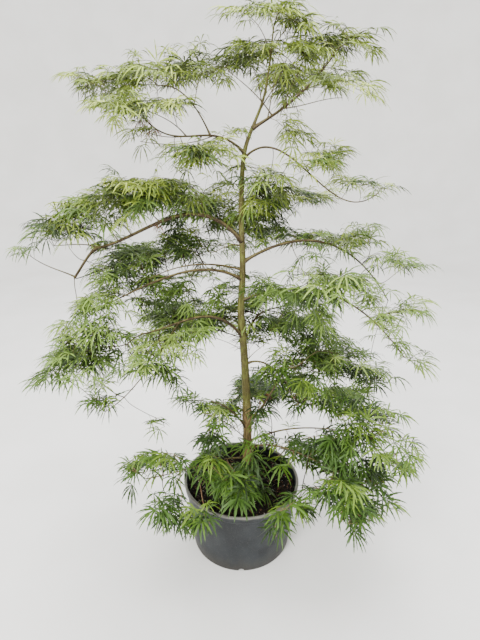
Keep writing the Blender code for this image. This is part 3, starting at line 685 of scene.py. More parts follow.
def closed_skin(rings, start, end):
    """Points and faces of a skin over a grid (ring, turn, xyz), with a pole at each end."""
    count, sides = rings.shape[:2]
    points = np.vstack((start, rings.reshape(-1, 3), end))
    here = 1 + np.arange(sides)
    after = 1 + (np.arange(sides) + 1) % sides
    rows = (np.arange(count - 1) * sides)[:, None]
    walls = np.stack((rows + here, rows + after, rows + sides + after, rows + sides + here), -1)
    top = (count - 1) * sides
    foot = np.stack((np.zeros(sides, int), after, here), -1)
    tip = np.stack((top + here, top + after, np.full(sides, len(points) - 1)), -1)
    return points, [walls.reshape(-1, 4), np.vstack((foot, tip))]


def joined(shapes):
    """Several (points, faces) shapes as one, with the face numbers moved on."""
    points, faces, moved = [], [], 0
    for shape_points, shape_faces in shapes:
        points.append(shape_points)
        faces += [group + moved for group in shape_faces]
        moved += len(shape_points)
    return np.vstack(points), faces


def tangents(path):
    """The direction of a path at each point, from the points before and after it."""
    return unit(np.gradient(path, axis=0))


def rings_round(centres, ahead, side, radii, turns):
    """Rings of points: centre + radius (side cos turn + other sin turn), where other is square to
    ahead and side. `radii` has a row for each ring, with one radius or one for each turn."""
    other = np.cross(ahead, side)
    ways = side[:, None] * np.cos(turns)[:, None] + other[:, None] * np.sin(turns)[:, None]
    return centres[:, None] + radii[..., None] * ways


def limb_rings(path, level, radii, turns):
    """Rings along a path, whose side is the direction `level` made square to the path."""
    forward = tangents(path)
    side = unit(level - forward * (forward @ level)[:, None])
    return rings_round(path, forward, side, radii, turns)


def scattered(places, count):
    """Numbers from 0 to 1 for each place that look random but hang on the place alone, so that one
    part of the crown can change without the rest: the whole millimetres, mixed by large products."""
    cell = np.rint(places * 1000).astype(np.int64)
    mixed = (cell[:, 0] * 73856093) ^ (cell[:, 1] * 19349663) ^ (cell[:, 2] * 83492791)
    numbers = []
    for _ in range(count):
        mixed = mixed * 6364136223846793005 + 1442695040888963407
        numbers.append(((mixed >> 33) & 0xFFFFF) / 0xFFFFF)
    return np.stack(numbers, -1)


# ---------------------------------------------------------------- trunk and boughs


def smooth_through(knots, at):
    """A smooth curve through (station, value) knots, read at the stations `at`: on each span a
    cubic with the knots' values and slopes at its ends."""
    stations, values = (np.array(column, float) for column in zip(*knots))
    slopes = np.gradient(values, stations)
    spot = np.clip(np.searchsorted(stations, at, side="right") - 1, 0, len(stations) - 2)
    span = stations[spot + 1] - stations[spot]
    t = (at - stations[spot]) / span
    return (
        values[spot] * (1 + 2 * t) * (1 - t) ** 2
        + slopes[spot] * span * t * (1 - t) ** 2
        + values[spot + 1] * t * t * (3 - 2 * t)
        + slopes[spot + 1] * span * t * t * (t - 1)
    )


def trunk_path(heights):
    """The trunk's axis at these heights: it bends in x alone, smoothly through its rows."""
    heights = np.asarray(heights, float)
    return np.stack((smooth_through(TRUNK_BENDS, heights), 0 * heights, heights), -1)


def trunk_radii(heights):
    """The rows of radii joined smoothly, plus a bell-shaped swelling where the tree was grafted."""
    taper = smooth_through(TRUNK_RADII, np.clip(heights, SOIL_LEVEL, TRUNK_RADII[-1][0]))
    return taper + UNION_SWELL * np.exp(-(((heights - UNION_HEIGHT) / UNION_LENGTH) ** 2))


def bough_path(bough, root, t):
    """A cubic height over the reach through the four stations, with a sine-shaped sideways bow."""
    curve = np.polyfit(STATIONS, (bough.start, bough.shoulder, bough.middle, bough.end), 3)
    path = root * (1, 1, 0) + np.outer(bough.reach * t, heading_vector(bough.heading))
    path = path + np.outer(bough.bow * np.sin(pi * t), heading_vector(bough.heading + 90))
    path[:, 2] = np.polyval(curve, t)
    return path


def bough_roots():
    """Where each bough starts: on the trunk's axis, or on its parent's path at that height."""
    knots = np.linspace(0, 1, BOUGH_KNOTS)
    roots, paths = {}, {}
    for bough in BOUGHS:
        if bough.parent == "trunk":
            roots[bough.name] = trunk_path([bough.start])[0]
        else:
            half = paths[bough.parent][2:]
            roots[bough.name] = half[np.argmin(np.abs(half[:, 2] - bough.start))]
        paths[bough.name] = bough_path(bough, roots[bough.name], knots)
    return roots


def shoot_rows(roots):
    """The shoots as bough rows. Their roots are added to the boughs'."""
    parents = {bough.name: bough for bough in BOUGHS}
    rows = []
    for number, shoot in enumerate(SHOOTS):
        if shoot.parent == "trunk":
            root = trunk_path([shoot.at])[0]
        else:
            parent = parents[shoot.parent]
            root = bough_path(parent, roots[parent.name], np.array([shoot.at]))[0]
        name = f"shoot_{number}"
        run = (shoot.heading, shoot.reach, root[2], shoot.shoulder, shoot.middle, shoot.end)
        rows.append(Bough(name, shoot.parent, *run, 0.0, shoot.root, shoot.tip))
        roots[name] = root
    return rows


def waves(dice, turns, along, most_round, finest, count):
    """Bark relief, mostly within 1 of 0: a sum of waves sin(m turn + w along + phase), with m whole."""
    total = np.zeros((len(along), len(turns)))
    for _ in range(count):
        round_count = dice.integers(0, most_round + 1)
        pitch = dice.uniform(*WAVE_PITCHES) * 2 * pi / finest * dice.choice((-1, 1))
        total += np.sin(round_count * turns[None] + pitch * along[:, None] + dice.uniform(0, 2 * pi))
    return total / count**0.5 / WAVE_PEAK


def ring_scars(along, spots, width):
    """A raised ring at each spot: the sum of bells exp(-((along - spot) / width)^2)."""
    return np.exp(-(((along[:, None] - spots[None]) / width) ** 2)).sum(1)


def bark_relief(dice, turns, along, girth):
    """Ridges along the limb, finer bumps and pores, and a faint ring at each old pair of buds."""
    ridges = waves(dice, turns, along, *LONG_RIDGES)
    bumps = waves(dice, turns, along, *BARK_BUMPS)
    pores = np.clip(waves(dice, turns, along, *BARK_PORES) - PORE_LEVEL, 0, 1)
    spots = np.cumsum(dice.uniform(*SCAR_GAPS, SCAR_COUNT))
    scars = ring_scars(along, spots, SCAR_WIDTH)[:, None]
    relief = RIDGE_DEPTH * ridges + BUMP_DEPTH * bumps + PORE_DEPTH * pores + SCAR_DEPTH * scars
    return girth[:, None] * relief


def trunk_shape(dice):
    """The trunk: its taper, five root lobes that die away upwards, and the bark's relief."""
    foot, tip = SOIL_LEVEL - TRUNK_SUNK, TRUNK_BENDS[-1][0]
    heights = foot + (tip - foot) * np.linspace(0, 1, TRUNK_RINGS)
    turns = even_turns(TRUNK_SIDES)
    girth = trunk_radii(heights)
    fading = np.minimum(np.exp(-(heights - SOIL_LEVEL) / FLARE_HEIGHT), FLARE_MOST)[:, None]
    lobes = 1 - FLARE_LOBE_DEPTH * (1 - np.cos(FLARE_LOBES * turns))[None]
    radii = girth[:, None] + FLARE * fading * lobes + bark_relief(dice, turns, heights, girth)
    path = trunk_path(heights)
    rings = limb_rings(path, np.array((0.0, 1.0, 0.0)), radii, turns)
    grain = grain_of(heights, turns, girth)
    end = path[-1] + tangents(path)[-1] * TRUNK_RADII[-1][1]
    return *closed_skin(rings, path[0], end), grain


def grain_of(along, turns, girth):
    """A place on an unrolled limb without a seam: (girth cos turn, girth sin turn, length)."""
    across = girth[:, None, None] * np.stack((np.cos(turns), np.sin(turns)), -1)[None]
    run = np.broadcast_to(along[:, None, None], (*across.shape[:2], 1))
    rows = np.concatenate((across, run), -1).reshape(-1, 3)
    return np.vstack((rows[:1], rows, rows[-1:]))


def bough_shape(bough, root, dice):
    """One tapering limb, with a collar where it leaves its parent and the bark's relief."""
    heights = np.ptp((bough.start, bough.shoulder, bough.middle, bough.end))
    rings = int((bough.reach + heights) / BOUGH_RING_STEP)
    t = np.linspace(0, 1, rings)
    path = bough_path(bough, root, t)
    along = np.concatenate(((0,), np.cumsum(np.linalg.norm(np.diff(path, axis=0), axis=1))))
    girth = BOUGH_SHARE * (bough.root + (bough.tip - bough.root) * t)
    parent = trunk_radii(np.array([bough.start]))[0] if bough.parent == "trunk" else bough.root
    collar = 1 + COLLAR_SWELL * np.exp(-np.clip(along - parent, 0, None) / COLLAR_LENGTH)
    turns = even_turns(BOUGH_SIDES)
    radii = (girth * collar)[:, None] + bark_relief(dice, turns, along, girth)
    skin = limb_rings(path, heading_vector(bough.heading + 90), radii, turns)
    end = path[-1] + tangents(path)[-1] * bough.tip
    return *closed_skin(skin, path[0], end), grain_of(along, turns, girth)


def store_grain(obj, grain, age):
    """Keeps each point's place along its limb, and how old its bark is, for the bark's finish."""
    places = obj.data.attributes.new("grain", "FLOAT_VECTOR", "POINT")
    places.data.foreach_set("vector", np.ascontiguousarray(grain, np.float32).ravel())
    ages = obj.data.attributes.new("age", "FLOAT", "POINT")
    ages.data.foreach_set("value", np.ascontiguousarray(age, np.float32))


def make_limbs(roots, shoots, finishes):
    """The trunk's bark, the boughs' and the shoots', each with its grain and age."""
    dice = np.random.default_rng(SEED)
    points, faces, grain = trunk_shape(dice)
    trunk = new_piece("trunk_bark", points, faces, finishes["trunk"], "bark")
    low = np.clip((OLD_BARK_TOP - points[:, 2]) / OLD_BARK_FADE, 0, 1)
    union = np.exp(-(((points[:, 2] - UNION_HEIGHT) / UNION_AGE_LENGTH) ** 2))
    store_grain(trunk, grain, np.clip(FOOT_AGE * low + UNION_AGE * union, 0, 1))
    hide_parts("trunk")

    for name, rows in (("bough_bark", BOUGHS), ("shoot_bark", shoots)):
        shapes = [bough_shape(row, roots[row.name], dice) for row in rows]
        points, faces = joined([shape[:2] for shape in shapes])
        limbs = new_piece(name, points, faces, finishes["boughs"], "bark")
        grain = np.vstack([shape[2] for shape in shapes])
        store_grain(limbs, grain, np.full(len(points), BOUGH_AGE))
        if rows is BOUGHS:
            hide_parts(*["bough_" + bough.name for bough in BOUGHS])


# ---------------------------------------------------------------- twigs


def make_buds(roots, limbs):
    """Where twigs may start: (points, directions, limb radii) every BUD_STEP along each limb."""
    places, ways, girths = [], [], []
    for bough in limbs:
        count = max(2, int(bough.reach * (1 - BUD_FROM) / BUD_STEP) + 1)
        t = np.linspace(BUD_FROM, 1, count)
        fine = np.linspace(0, 1, BUD_PATH_STEPS + 1)
        nearest = np.rint(t * BUD_PATH_STEPS).astype(int)
        ahead = tangents(bough_path(bough, roots[bough.name], fine))[nearest]
        lift = np.where(t < 1, BUD_LIFT, END_BUD_LIFT)[:, None]
        places.append(bough_path(bough, roots[bough.name], t))
        ways.append(unit(ahead + lift * UP))
        girths.append(bough.root + (bough.tip - bough.root) * t)
    heights = np.arange(TRUNK_BUD_FROM, TRUNK_BENDS[-1][0], BUD_STEP)
    heights = np.append(heights, TRUNK_BENDS[-1][0])
    places.append(trunk_path(heights))
    ways.append(np.tile(UP, (len(heights), 1)))
    girths.append(trunk_radii(heights))
    return np.vstack(places), np.vstack(ways), np.concatenate(girths)


def pad_targets(node):
    """Points inside a pad, near its top: one, and at times a second where the pad is deep, under
    each place of a jittered grid. Each pad has dice of its own."""
    dice = np.random.default_rng([SEED, *node.name.encode()])
    mesh = node.data
    corners = np.empty(len(mesh.vertices) * 3)
    mesh.vertices.foreach_get("co", corners)
    corners = corners.reshape(-1, 3)
    tree = BVHTree.FromPolygons(corners.tolist(), [tuple(face.vertices) for face in mesh.polygons])
    low, high = corners.min(0), corners.max(0)
    step = TARGET_STEP / FULLNESS.get(node.name[len("foliage_") :], 1.0) ** 0.5
    found = []
    for x in np.arange(low[0], high[0], step):
        for y in np.arange(low[1], high[1], step):
            spot = np.array((x, y)) + dice.uniform(0, step, 2)
            share = dice.uniform(0, 1, 3)
            top = tree.ray_cast((*spot, high[2] + RAY_START), (0, 0, -1))[0]
            foot = tree.ray_cast((*spot, low[2] - RAY_START), (0, 0, 1))[0]
            if top is None or foot is None or top[2] - foot[2] < THIN_PAD:
                continue
            deep = top[2] - foot[2]
            found.append((*spot, top[2] - TARGET_TOP - share[0] ** 2 * TARGET_SPREAD * deep))
            if deep > THICK_PAD and share[1] < SECOND_LAYER:
                found.append((*spot, top[2] - (SECOND_DEPTH + SECOND_SPREAD * share[2]) * deep))
    return drawn_in(np.array(found))


def view_axes():
    """The camera's directions to the right, up and ahead, and its focal length in the frame's units."""
    yaw, pitch = radians(CAMERA_YAW), radians(CAMERA_PITCH)
    right = np.array((cos(yaw), sin(yaw), 0.0))
    ahead = np.array((-sin(yaw) * cos(pitch), cos(yaw) * cos(pitch), -sin(pitch)))
    return right, np.cross(right, ahead), ahead, CAMERA_LENS / CAMERA_SENSOR * max(FRAME_SIZE)


def sprig_targets():
    """Points about the middle of each sprig, flatter than wide. The middle is at the eye + way
    (y - eye's y) / way's y, where way is ahead + right (across / focal) - up (down / focal)."""
    right, up, ahead, focal = view_axes()
    spots = []
    for across, down, y, spread, count in SPRIGS:
        way = ahead + right * (across - FRAME_SIZE[0] / 2) / focal - up * (down - FRAME_SIZE[1] / 2) / focal
        middle = CAMERA_AT + way * (y - CAMERA_AT[1]) / way[1]
        dice = np.random.default_rng([SEED, across, down])
        half = (spread, spread, SPRIG_FLATNESS * spread)
        spots.append(middle + dice.uniform(-1, 1, (count, 3)) * half)
    return np.vstack(spots)


def in_window(points):
    """Whether each point shows in one of the windows, at middle + focal (side, -rise) / depth."""
    right, up, ahead, focal = view_axes()
    away = points - CAMERA_AT
    depth = away @ ahead
    across = (FRAME_SIZE[0] / 2 + focal * (away @ right) / depth)[:, None]
    down = (FRAME_SIZE[1] / 2 - focal * (away @ up) / depth)[:, None]
    left, top, far, foot = np.array(SKY_WINDOWS).T
    return ((across > left) & (across < far) & (down > top) & (down < foot)).any(1)


def drawn_in(places):
    """Draws a pad's places in from its edge, so that the leaves on the outer twigs end at it: along
    each main direction seen from above, by the factor (half length - inset) / half length."""
    centre = places[:, :2].mean(0)
    offsets = places[:, :2] - centre
    axes = np.linalg.svd(offsets, full_matrices=False)[2]
    along = offsets @ axes.T
    half = np.abs(along).max(0)
    factor = np.clip((half - TARGET_INSET) / half, LEAST_DRAWN_IN, 1)
    return np.column_stack((centre + (along * factor) @ axes, places[:, 2]))


def grow(buds, ways, targets):
    """Twigs that grow from the buds until every target is reached.

    In each round every target pulls its nearest point, and each pulled point puts out a new one a
    step away, in the mean direction of its pulls mixed with its own direction and a slight rise.
    Returns the points, the parent of each (-1 at a bud) and each one's direction.
    """
    points, parents, headings = buds.copy(), np.full(len(buds), -1), ways.copy()
    shoots = np.zeros(len(buds), int)
    gaps = np.linalg.norm(targets[:, None] - points[None], axis=2)
    owner, gap = gaps.argmin(1), gaps.min(1)
    waiting = gap > REACHED
    for _ in range(GROWTH_ROUNDS):
        if not waiting.any():
            break
        pull = np.zeros((len(points), 3))
        np.add.at(pull, owner[waiting], unit(targets[waiting] - points[owner[waiting]]))
        pulled = np.unique(owner[waiting])
        pulled = pulled[shoots[pulled] < MOST_SHOOTS]
        if not len(pulled):
            break
        way = unit(pull[pulled]) + KEEPING_ON * headings[pulled] + RISING * UP
        way = unit(way + GROWTH_WOBBLE * (scattered(points[pulled], 3) - 0.5))
        new = points[pulled] + TWIG_STEP * way
        clear = np.linalg.norm(new[:, None] - points[None], axis=2).min(1) > CROWDED * TWIG_STEP
        shoots[pulled] += 1
        new, way, pulled = new[clear], way[clear], pulled[clear]
        if not len(new):
            continue
        first = len(points)
        points, headings = np.vstack((points, new)), np.vstack((headings, way))
        parents = np.concatenate((parents, pulled))
        shoots = np.concatenate((shoots, np.zeros(len(new), int)))
        gaps = np.linalg.norm(targets[:, None] - new[None], axis=2)
        nearer = gaps.min(1) < gap
        owner[nearer] = first + gaps.argmin(1)[nearer]
        gap = np.minimum(gap, gaps.min(1))
        waiting &= gap > REACHED
    return points, parents, headings


def with_tips(points, parents, headings, buds):
    """Adds a few points to each twig's end, which level out and then droop."""
    ends = np.setdiff1d(np.arange(buds, len(points)), parents)
    way = headings[ends]
    for step in range(TIP_STEPS):
        way = unit(way * (1, 1, TIP_LEVEL) - UP * TIP_DROOP * step)
        new = points[ends] + TWIG_STEP * way
        parents = np.concatenate((parents, ends))
        ends = len(points) + np.arange(len(new))
        points, headings = np.vstack((points, new)), np.vstack((headings, way))
    return points, parents, headings


def pruned(points, parents, headings, buds):
    """The twigs without the ends that grew into a window or too far out."""
    depth, _ = levels_of(parents)
    needed = inside_box(points, np.zeros(len(points))) & ~in_window(points)
    for level in range(depth.max(), 0, -1):
        here = np.flatnonzero((depth == level) & needed)
        needed[parents[here]] = True
    needed[:buds] = True
    number = np.cumsum(needed) - 1
    parents = parents[needed]
    return points[needed], np.where(parents < 0, -1, number[parents]), headings[needed]


def levels_of(parents):
    """How many steps each point is from its bud, and how many from its furthest tip."""
    depth = np.zeros(len(parents), int)
    for point, parent in enumerate(parents):
        depth[point] = 0 if parent < 0 else depth[parent] + 1
    reach = np.zeros(len(parents), int)
    for level in range(depth.max(), 0, -1):
        here = np.flatnonzero(depth == level)
        np.maximum.at(reach, parents[here], reach[here] + 1)
    return depth, reach


def smoothed(points, parents, rounds=4):
    """Each inner point moves half way to the middle between its parent and its children."""
    inner = np.flatnonzero(parents >= 0)
    children = np.bincount(parents[inner], minlength=len(points))
    for _ in range(rounds):
        total = np.zeros_like(points)
        np.add.at(total, parents[inner], points[inner])
        movable = inner[children[inner] > 0]
        middle = total[movable] / children[movable][:, None]
        target = 0.5 * (middle + points[parents[movable]])
        points = points.copy()
        points[movable] += 0.5 * (target - points[movable])
    return points


def twig_radii(parents, depth, girths):
    """A point is as thick as what it carries: its radius to a power is the sum of its children's,
    a little more at each step, and no twig is thicker than a share of the limb it starts from."""
    load = np.zeros(len(parents))
    leaf = np.setdiff1d(np.arange(len(parents)), parents)
    load[leaf] = TIP_RADIUS**PIPE_POWER
    for level in range(depth.max(), 0, -1):
        here = np.flatnonzero(depth == level)
        np.add.at(load, parents[here], load[here] * PIPE_GAIN)
    radii = load ** (1 / PIPE_POWER)
    limit = np.full(len(parents), np.inf)
    limit[: len(girths)] = TWIG_SHARE * girths
    for level in range(1, depth.max() + 1):
        here = np.flatnonzero(depth == level)
        limit[here] = limit[parents[here]]
    return np.minimum(radii, limit)


def twig_frames(points, parents, depth, radii):
    """A side direction for every point, carried on from its parent so that tubes don't twist, and
    the child that carries on each point's line, which is the thickest."""
    heir = np.full(len(points), -1)
    order = np.argsort(radii, kind="stable")
    order = order[parents[order] >= 0]
    heir[parents[order]] = order
    ahead = np.zeros_like(points)
    has_heir, has_parent = heir >= 0, parents >= 0
    ahead[has_heir] += unit(points[heir[has_heir]] - points[has_heir])
    ahead[has_parent] += unit(points[has_parent] - points[parents[has_parent]])
    ahead = unit(ahead)
    side = unit(np.cross(ahead, TWIG_SIDEWAYS))
    for level in range(1, depth.max() + 1):
        here = np.flatnonzero(depth == level)
        carried = side[parents[here]]
        side[here] = unit(carried - ahead[here] * (carried * ahead[here]).sum(1)[:, None])
    return ahead, side, heir


def twig_shape(twigs, chosen):
    """Tubes for the chosen points, each from its parent's ring, or from a ring of its own where it
    branches off, and a pole on each tip."""
    points, parents, radii, ahead, side, heir = twigs
    turns = even_turns(TWIG_SIDES)
    rings = rings_round(points, ahead, side, radii[:, None], turns)
    branches = chosen[heir[parents[chosen]] != chosen]
    carried_on = chosen[heir[parents[chosen]] == chosen]
    own_way = unit(points[branches] - points[parents[branches]])
    own_side = side[branches] - own_way * (side[branches] * own_way).sum(1)[:, None]
    own_radii = (radii[branches] * BRANCH_COLLAR)[:, None]
    own = rings_round(points[parents[branches]], own_way, unit(own_side), own_radii, turns)
    tips = chosen[heir[chosen] < 0]
    ends = points[tips] + ahead[tips] * radii[tips][:, None]
    vertices = np.vstack((rings.reshape(-1, 3), own.reshape(-1, 3), ends))
    here = np.arange(TWIG_SIDES)
    after = (here + 1) % TWIG_SIDES
    starts = np.concatenate((parents[carried_on], len(points) + np.arange(len(branches))))
    near = (starts * TWIG_SIDES)[:, None]
    far = (np.concatenate((carried_on, branches)) * TWIG_SIDES)[:, None]
    walls = np.stack((near + here, near + after, far + after, far + here), -1).reshape(-1, 4)
    top = (tips * TWIG_SIDES)[:, None]
    poles = len(vertices) - len(ends) + np.arange(len(ends))
    caps = np.stack(np.broadcast_arrays(top + here, top + after, poles[:, None]), -1).reshape(-1, 3)
    used, walls_caps = np.unique(np.concatenate((walls.ravel(), caps.ravel())), return_inverse=True)
    walls_caps = walls_caps.reshape(-1)
    return vertices[used], [
        walls_caps[: walls.size].reshape(-1, 4),
        walls_caps[walls.size :].reshape(-1, 3),
    ]


# ---------------------------------------------------------------- leaves


def leaf_places(points, parents, reach, ahead, buds, dice):
    """Pairs of leaf stalks: every second point of the outer twigs puts out one to each side, and
    each tip puts out a third one straight on. Returns (twig point, stalk direction)."""
    leafy = np.flatnonzero((reach <= LEAFY_STEPS) & (reach % LEAF_EVERY == 0))
    leafy = leafy[leafy >= buds]
    level = unit(np.cross(ahead[leafy], UP) + 1e-6)
    outwards = points[leafy] - trunk_path(points[leafy][:, 2].clip(SOIL_LEVEL, TRUNK_BENDS[-1][0]))
    outwards = OUTWARDS * unit(outwards * (1, 1, 0))
    ways, hosts = [], []
    for hand in (1, -1):
        way = STALK_AHEAD * ahead[leafy] + hand * STALK_SIDEWAYS * level + STALK_UP * UP + outwards
        ways.append(way + dice.normal(0, STALK_SCATTER, way.shape))
        hosts.append(leafy)
    tips = leafy[reach[leafy] == 0]
    straight_on = ahead[tips] + TIP_STALK_UP * UP
    ways.append(straight_on + dice.normal(0, TIP_STALK_SCATTER, (len(tips), 3)))
    hosts.append(tips)
    return np.concatenate(hosts), unit(np.vstack(ways))


def leaf_shapes(base, way, size, hang, dice):
    """Points and faces of many leaves at once.

    Each leaf has lobes that spread like fingers from the end of its stalk. A lobe starts in the
    direction forward cos angle + across sin angle, and bends down along its length: its
    direction at the share s is the unit vector of start + droop s down, where `hang` adds to the
    droop. Its edges stand off its middle line by the outline's half width, along a rolled
    sideways direction.
    """
    count, lobes = len(base), len(LOBE_ANGLES)
    forward = unit(way * (1, 1, LEAF_LEVEL) - LEAF_DIP * UP)
    across = unit(np.cross(UP, forward) + dice.normal(0, LEAF_TILT, forward.shape))
    across = unit(across - forward * (across * forward).sum(1)[:, None])
    lift = np.cross(forward, across)
    angles = np.radians(LOBE_ANGLES) + dice.normal(0, LOBE_TURN, (count, lobes))
    start = forward[:, None] * np.cos(angles)[..., None] + across[:, None] * np.sin(angles)[..., None]
    start = unit(start + LEAF_CUP * lift[:, None])
    droop = hang[:, None, None] + dice.uniform(LEAST_DROOP, MOST_DROOP, (count, 1, 1))
    droop = droop * dice.uniform(*LOBE_DROOP_RANGE, (count, lobes, 1))
    stretch = dice.uniform(*LOBE_LENGTH_RANGE, (count, lobes))
    length = size[:, None] * np.array(LOBE_LENGTHS) * stretch

    stations = np.array([share for share, _ in LOBE_OUTLINE] + [1.0])
    widths = np.array([width for _, width in LOBE_OUTLINE])
    middles = 0.5 * (stations[1:] + stations[:-1])
    way_at = unit(start[:, :, None] - (droop * middles)[..., None] * UP)
    strides = way_at * np.diff(stations)[:, None] * length[..., None, None]
    spine = np.concatenate((np.zeros((count, lobes, 1, 3)), np.cumsum(strides, 2)), 2)
    spine = base[:, None, None] + spine

    sideways = unit(np.cross(lift[:, None], start))
    roll = dice.normal(0, LOBE_ROLL, (count, lobes))[..., None]
    sideways = sideways * np.cos(roll) + lift[:, None] * np.sin(roll)
    half_width = size * np.interp(base[:, 2], LEAF_HEIGHTS, LOBE_HALF_WIDTHS)
    offset = sideways[:, :, None] * widths[:, None] * half_width[:, None, None, None]
    left, right = spine[:, :, :-1] + offset, spine[:, :, :-1] - offset
    edge = np.stack((left, right), 3).reshape(count, lobes, -1, 3)
    points = np.concatenate((edge, spine[:, :, -1:]), 2)
    per_lobe = points.shape[2]
    first = (np.arange(count * lobes) * per_lobe)[:, None]
    row = 2 * np.arange(len(widths) - 1)
    quads = np.stack((first + row, first + row + 1, first + row + 3, first + row + 2), -1)
    last = per_lobe - 3
    tips = first + np.array((last, last + 1, last + 2))
    return points.reshape(-1, 3), [quads.reshape(-1, 4), tips]


def stalk_shapes(start, end, radius):
    """A thin stalk from each start to each end, through a middle ring that is arched upwards."""
    lengths = np.linalg.norm(end - start, axis=1)[:, None]
    middle = 0.5 * (start + end) + UP * PETIOLE_ARCH * lengths
    ahead = unit(end - start)
    side = unit(np.cross(ahead, PETIOLE_SIDEWAYS))
    turns = even_turns(PETIOLE_SIDES)
    radii = np.full((len(start), 1), radius)
    rings = [rings_round(spot, ahead, side, radii, turns) for spot in (start, middle, end)]
    points = np.stack(rings, 1)
    base = (np.arange(len(points)) * len(rings) * PETIOLE_SIDES)[:, None, None]
    row = base + (np.arange(len(rings) - 1) * PETIOLE_SIDES)[:, None]
    next_row = row + PETIOLE_SIDES
    here = np.arange(PETIOLE_SIDES)
    after = (here + 1) % PETIOLE_SIDES
    walls = np.stack((row + here, row + after, next_row + after, next_row + here), -1)
    return points.reshape(-1, 3), [walls.reshape(-1, 4)]


def spray_of(parents, reach, depth):
    """The spray that each point belongs to: its nearest forebear that is half
    of LEAFY_STEPS or more from its own furthest tip."""
    spray = np.arange(len(parents))
    for level in range(1, depth.max() + 1):
        here = np.flatnonzero((depth == level) & (reach < LEAFY_STEPS // 2))
        spray[here] = spray[parents[here]]
    return spray


def leaves_above(middles):
    """How many other leaves stand over each one: within SHADOW_RADIUS seen from above."""
    counts = []
    for chunk in np.array_split(middles, SHADOW_CHUNKS):
        apart = chunk[:, None] - middles[None]
        near = (apart[..., :2] ** 2).sum(-1) < SHADOW_RADIUS**2
        over = (-apart[..., 2] > SHADOW_DEPTHS[0]) & (-apart[..., 2] < SHADOW_DEPTHS[1])
        counts.append((near & over).sum(1))
    return np.concatenate(counts)


def ranked(values):
    """Each value's place in their order, from 0 to 1."""
    return np.argsort(np.argsort(values, kind="stable"), kind="stable") / max(1, len(values) - 1)


def deal_tones(middles, spray, points, dice):
    """A tone for every leaf: its spray's own, the darker the more leaves stand over the spray, which is
    painted shade, and at times the next one to it. Sprays low down, half way up and high up have tones
    of their own, which change over within the bands of height."""
    names, member = np.unique(spray, return_inverse=True)
    size = np.bincount(member)
    cover = np.bincount(member, leaves_above(middles)) / size
    height = np.bincount(member, middles[:, 2]) / size
    chance = scattered(points[names], 2)
    # Painted shade: sprays with more leaves over them rank towards the darker tones.
    light = SHADOW_WEIGHT * (1 - ranked(cover)) + (1 - SHADOW_WEIGHT) * chance[:, 0]
    own = (ranked(light)[:, None] > np.cumsum(TONE_MIX)).sum(1)
    tone = own[member] + dice.choice(TONE_STEPS, len(member))
    tone = np.clip(tone, 0, len(TONE_MIX) - 1)
    band = sum(chance[:, 1] < (height - low) / (high - low) for low, high in TONE_BANDS)
    return tone + len(TONE_MIX) * band[member]


def inside_box(base, size):
    """Whether a leaf of this size at each base stays within the proud margin of the construction's
    box, to the sides and to the back and front."""
    low, high = (np.array(corner) for corner in cad_box)
    margin = PROUD_SHARE * (high - low) + PROUD_EXTRA
    reach = LEAF_REACH * size[:, None]
    return ((base - reach > low - margin) & (base + reach < high + margin))[:, :2].all(1)


def make_foliage(roots, shoots, finishes):
    """Twigs grown to the pads and sprigs, in three thicknesses and tones, and their leaves."""
    dice = np.random.default_rng(SEED + 1)
    pads = sorted(name for name in frame["nodes"] if name.startswith("foliage_"))
    targets = [pad_targets(frame["nodes"][name]) for name in pads] + [sprig_targets()]
    targets = np.vstack(targets)
    targets = targets[~in_window(targets)]
    leafy = [row for row, shoot in zip(shoots, SHOOTS) if shoot.leafy]
    buds, ways, girths = make_buds(roots, [*BOUGHS, *leafy])
    points, parents, headings = grow(buds, ways, targets)
    points, parents, headings = with_tips(points, parents, headings, len(buds))
    points, parents, headings = pruned(points, parents, headings, len(buds))
    depth, reach = levels_of(parents)
    points = smoothed(points, parents)
    radii = twig_radii(parents, depth, girths)
    ahead, side, heir = twig_frames(points, parents, depth, radii)
    twigs = (points, parents, radii, ahead, side, heir)
    grown = np.flatnonzero(parents >= 0)
    low = points[grown][:, 2] < PALE_BELOW
    young = radii[grown] < YOUNG_RADIUS
    for name, chosen in (
        ("twigs_old", grown[~young]),
        ("twigs_young", grown[young & ~low]),
        ("twigs_pale", grown[young & low]),
    ):
        new_piece(name, *twig_shape(twigs, chosen), finishes[name], "bark")

    host, way = leaf_places(points, parents, reach, ahead, len(buds), dice)
    size = np.interp(points[host][:, 2], LEAF_HEIGHTS, LEAF_LENGTHS)
    size = size * dice.normal(1, LEAF_SPREAD, len(host)).clip(*LEAF_RANGE)
    stalk = PETIOLE_SHARE * size * dice.uniform(*PETIOLE_RANGE, len(host))
    base = points[host] + way * stalk[:, None]
    kept = inside_box(base, size) & ~in_window(base + LEAF_MIDDLE * size[:, None] * way)
    host, way, size, base = host[kept], way[kept], size[kept], base[kept]
    hang = np.where(reach[host] <= HANGING_STEPS, TIP_HANG, 0)
    spray = spray_of(parents, reach, depth)[host]
    tone = deal_tones(base + LEAF_MIDDLE * size[:, None] * way, spray, points, dice)
    stalks = stalk_shapes(points[host], base, PETIOLE_RADIUS)
    new_piece("leaf_stalks", *stalks, finishes["stalks"], "foliage")
    per_leaf = (2 * (len(LOBE_OUTLINE) - 1) + 1) * len(LOBE_ANGLES)
    first = None
    for index, name in enumerate(LEAF_TONES):
        members = np.flatnonzero(tone == index)
        pieces = -(-len(members) * per_leaf // MOST_TRIANGLES)
        for part, chosen in enumerate(np.array_split(members, max(1, pieces))):
            shape = leaf_shapes(base[chosen], way[chosen], size[chosen], hang[chosen], dice)
            piece = new_piece(f"leaves_{name}_{part + 1}", *shape, finishes[name], "foliage")
            first = first or piece
    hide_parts(*pads)


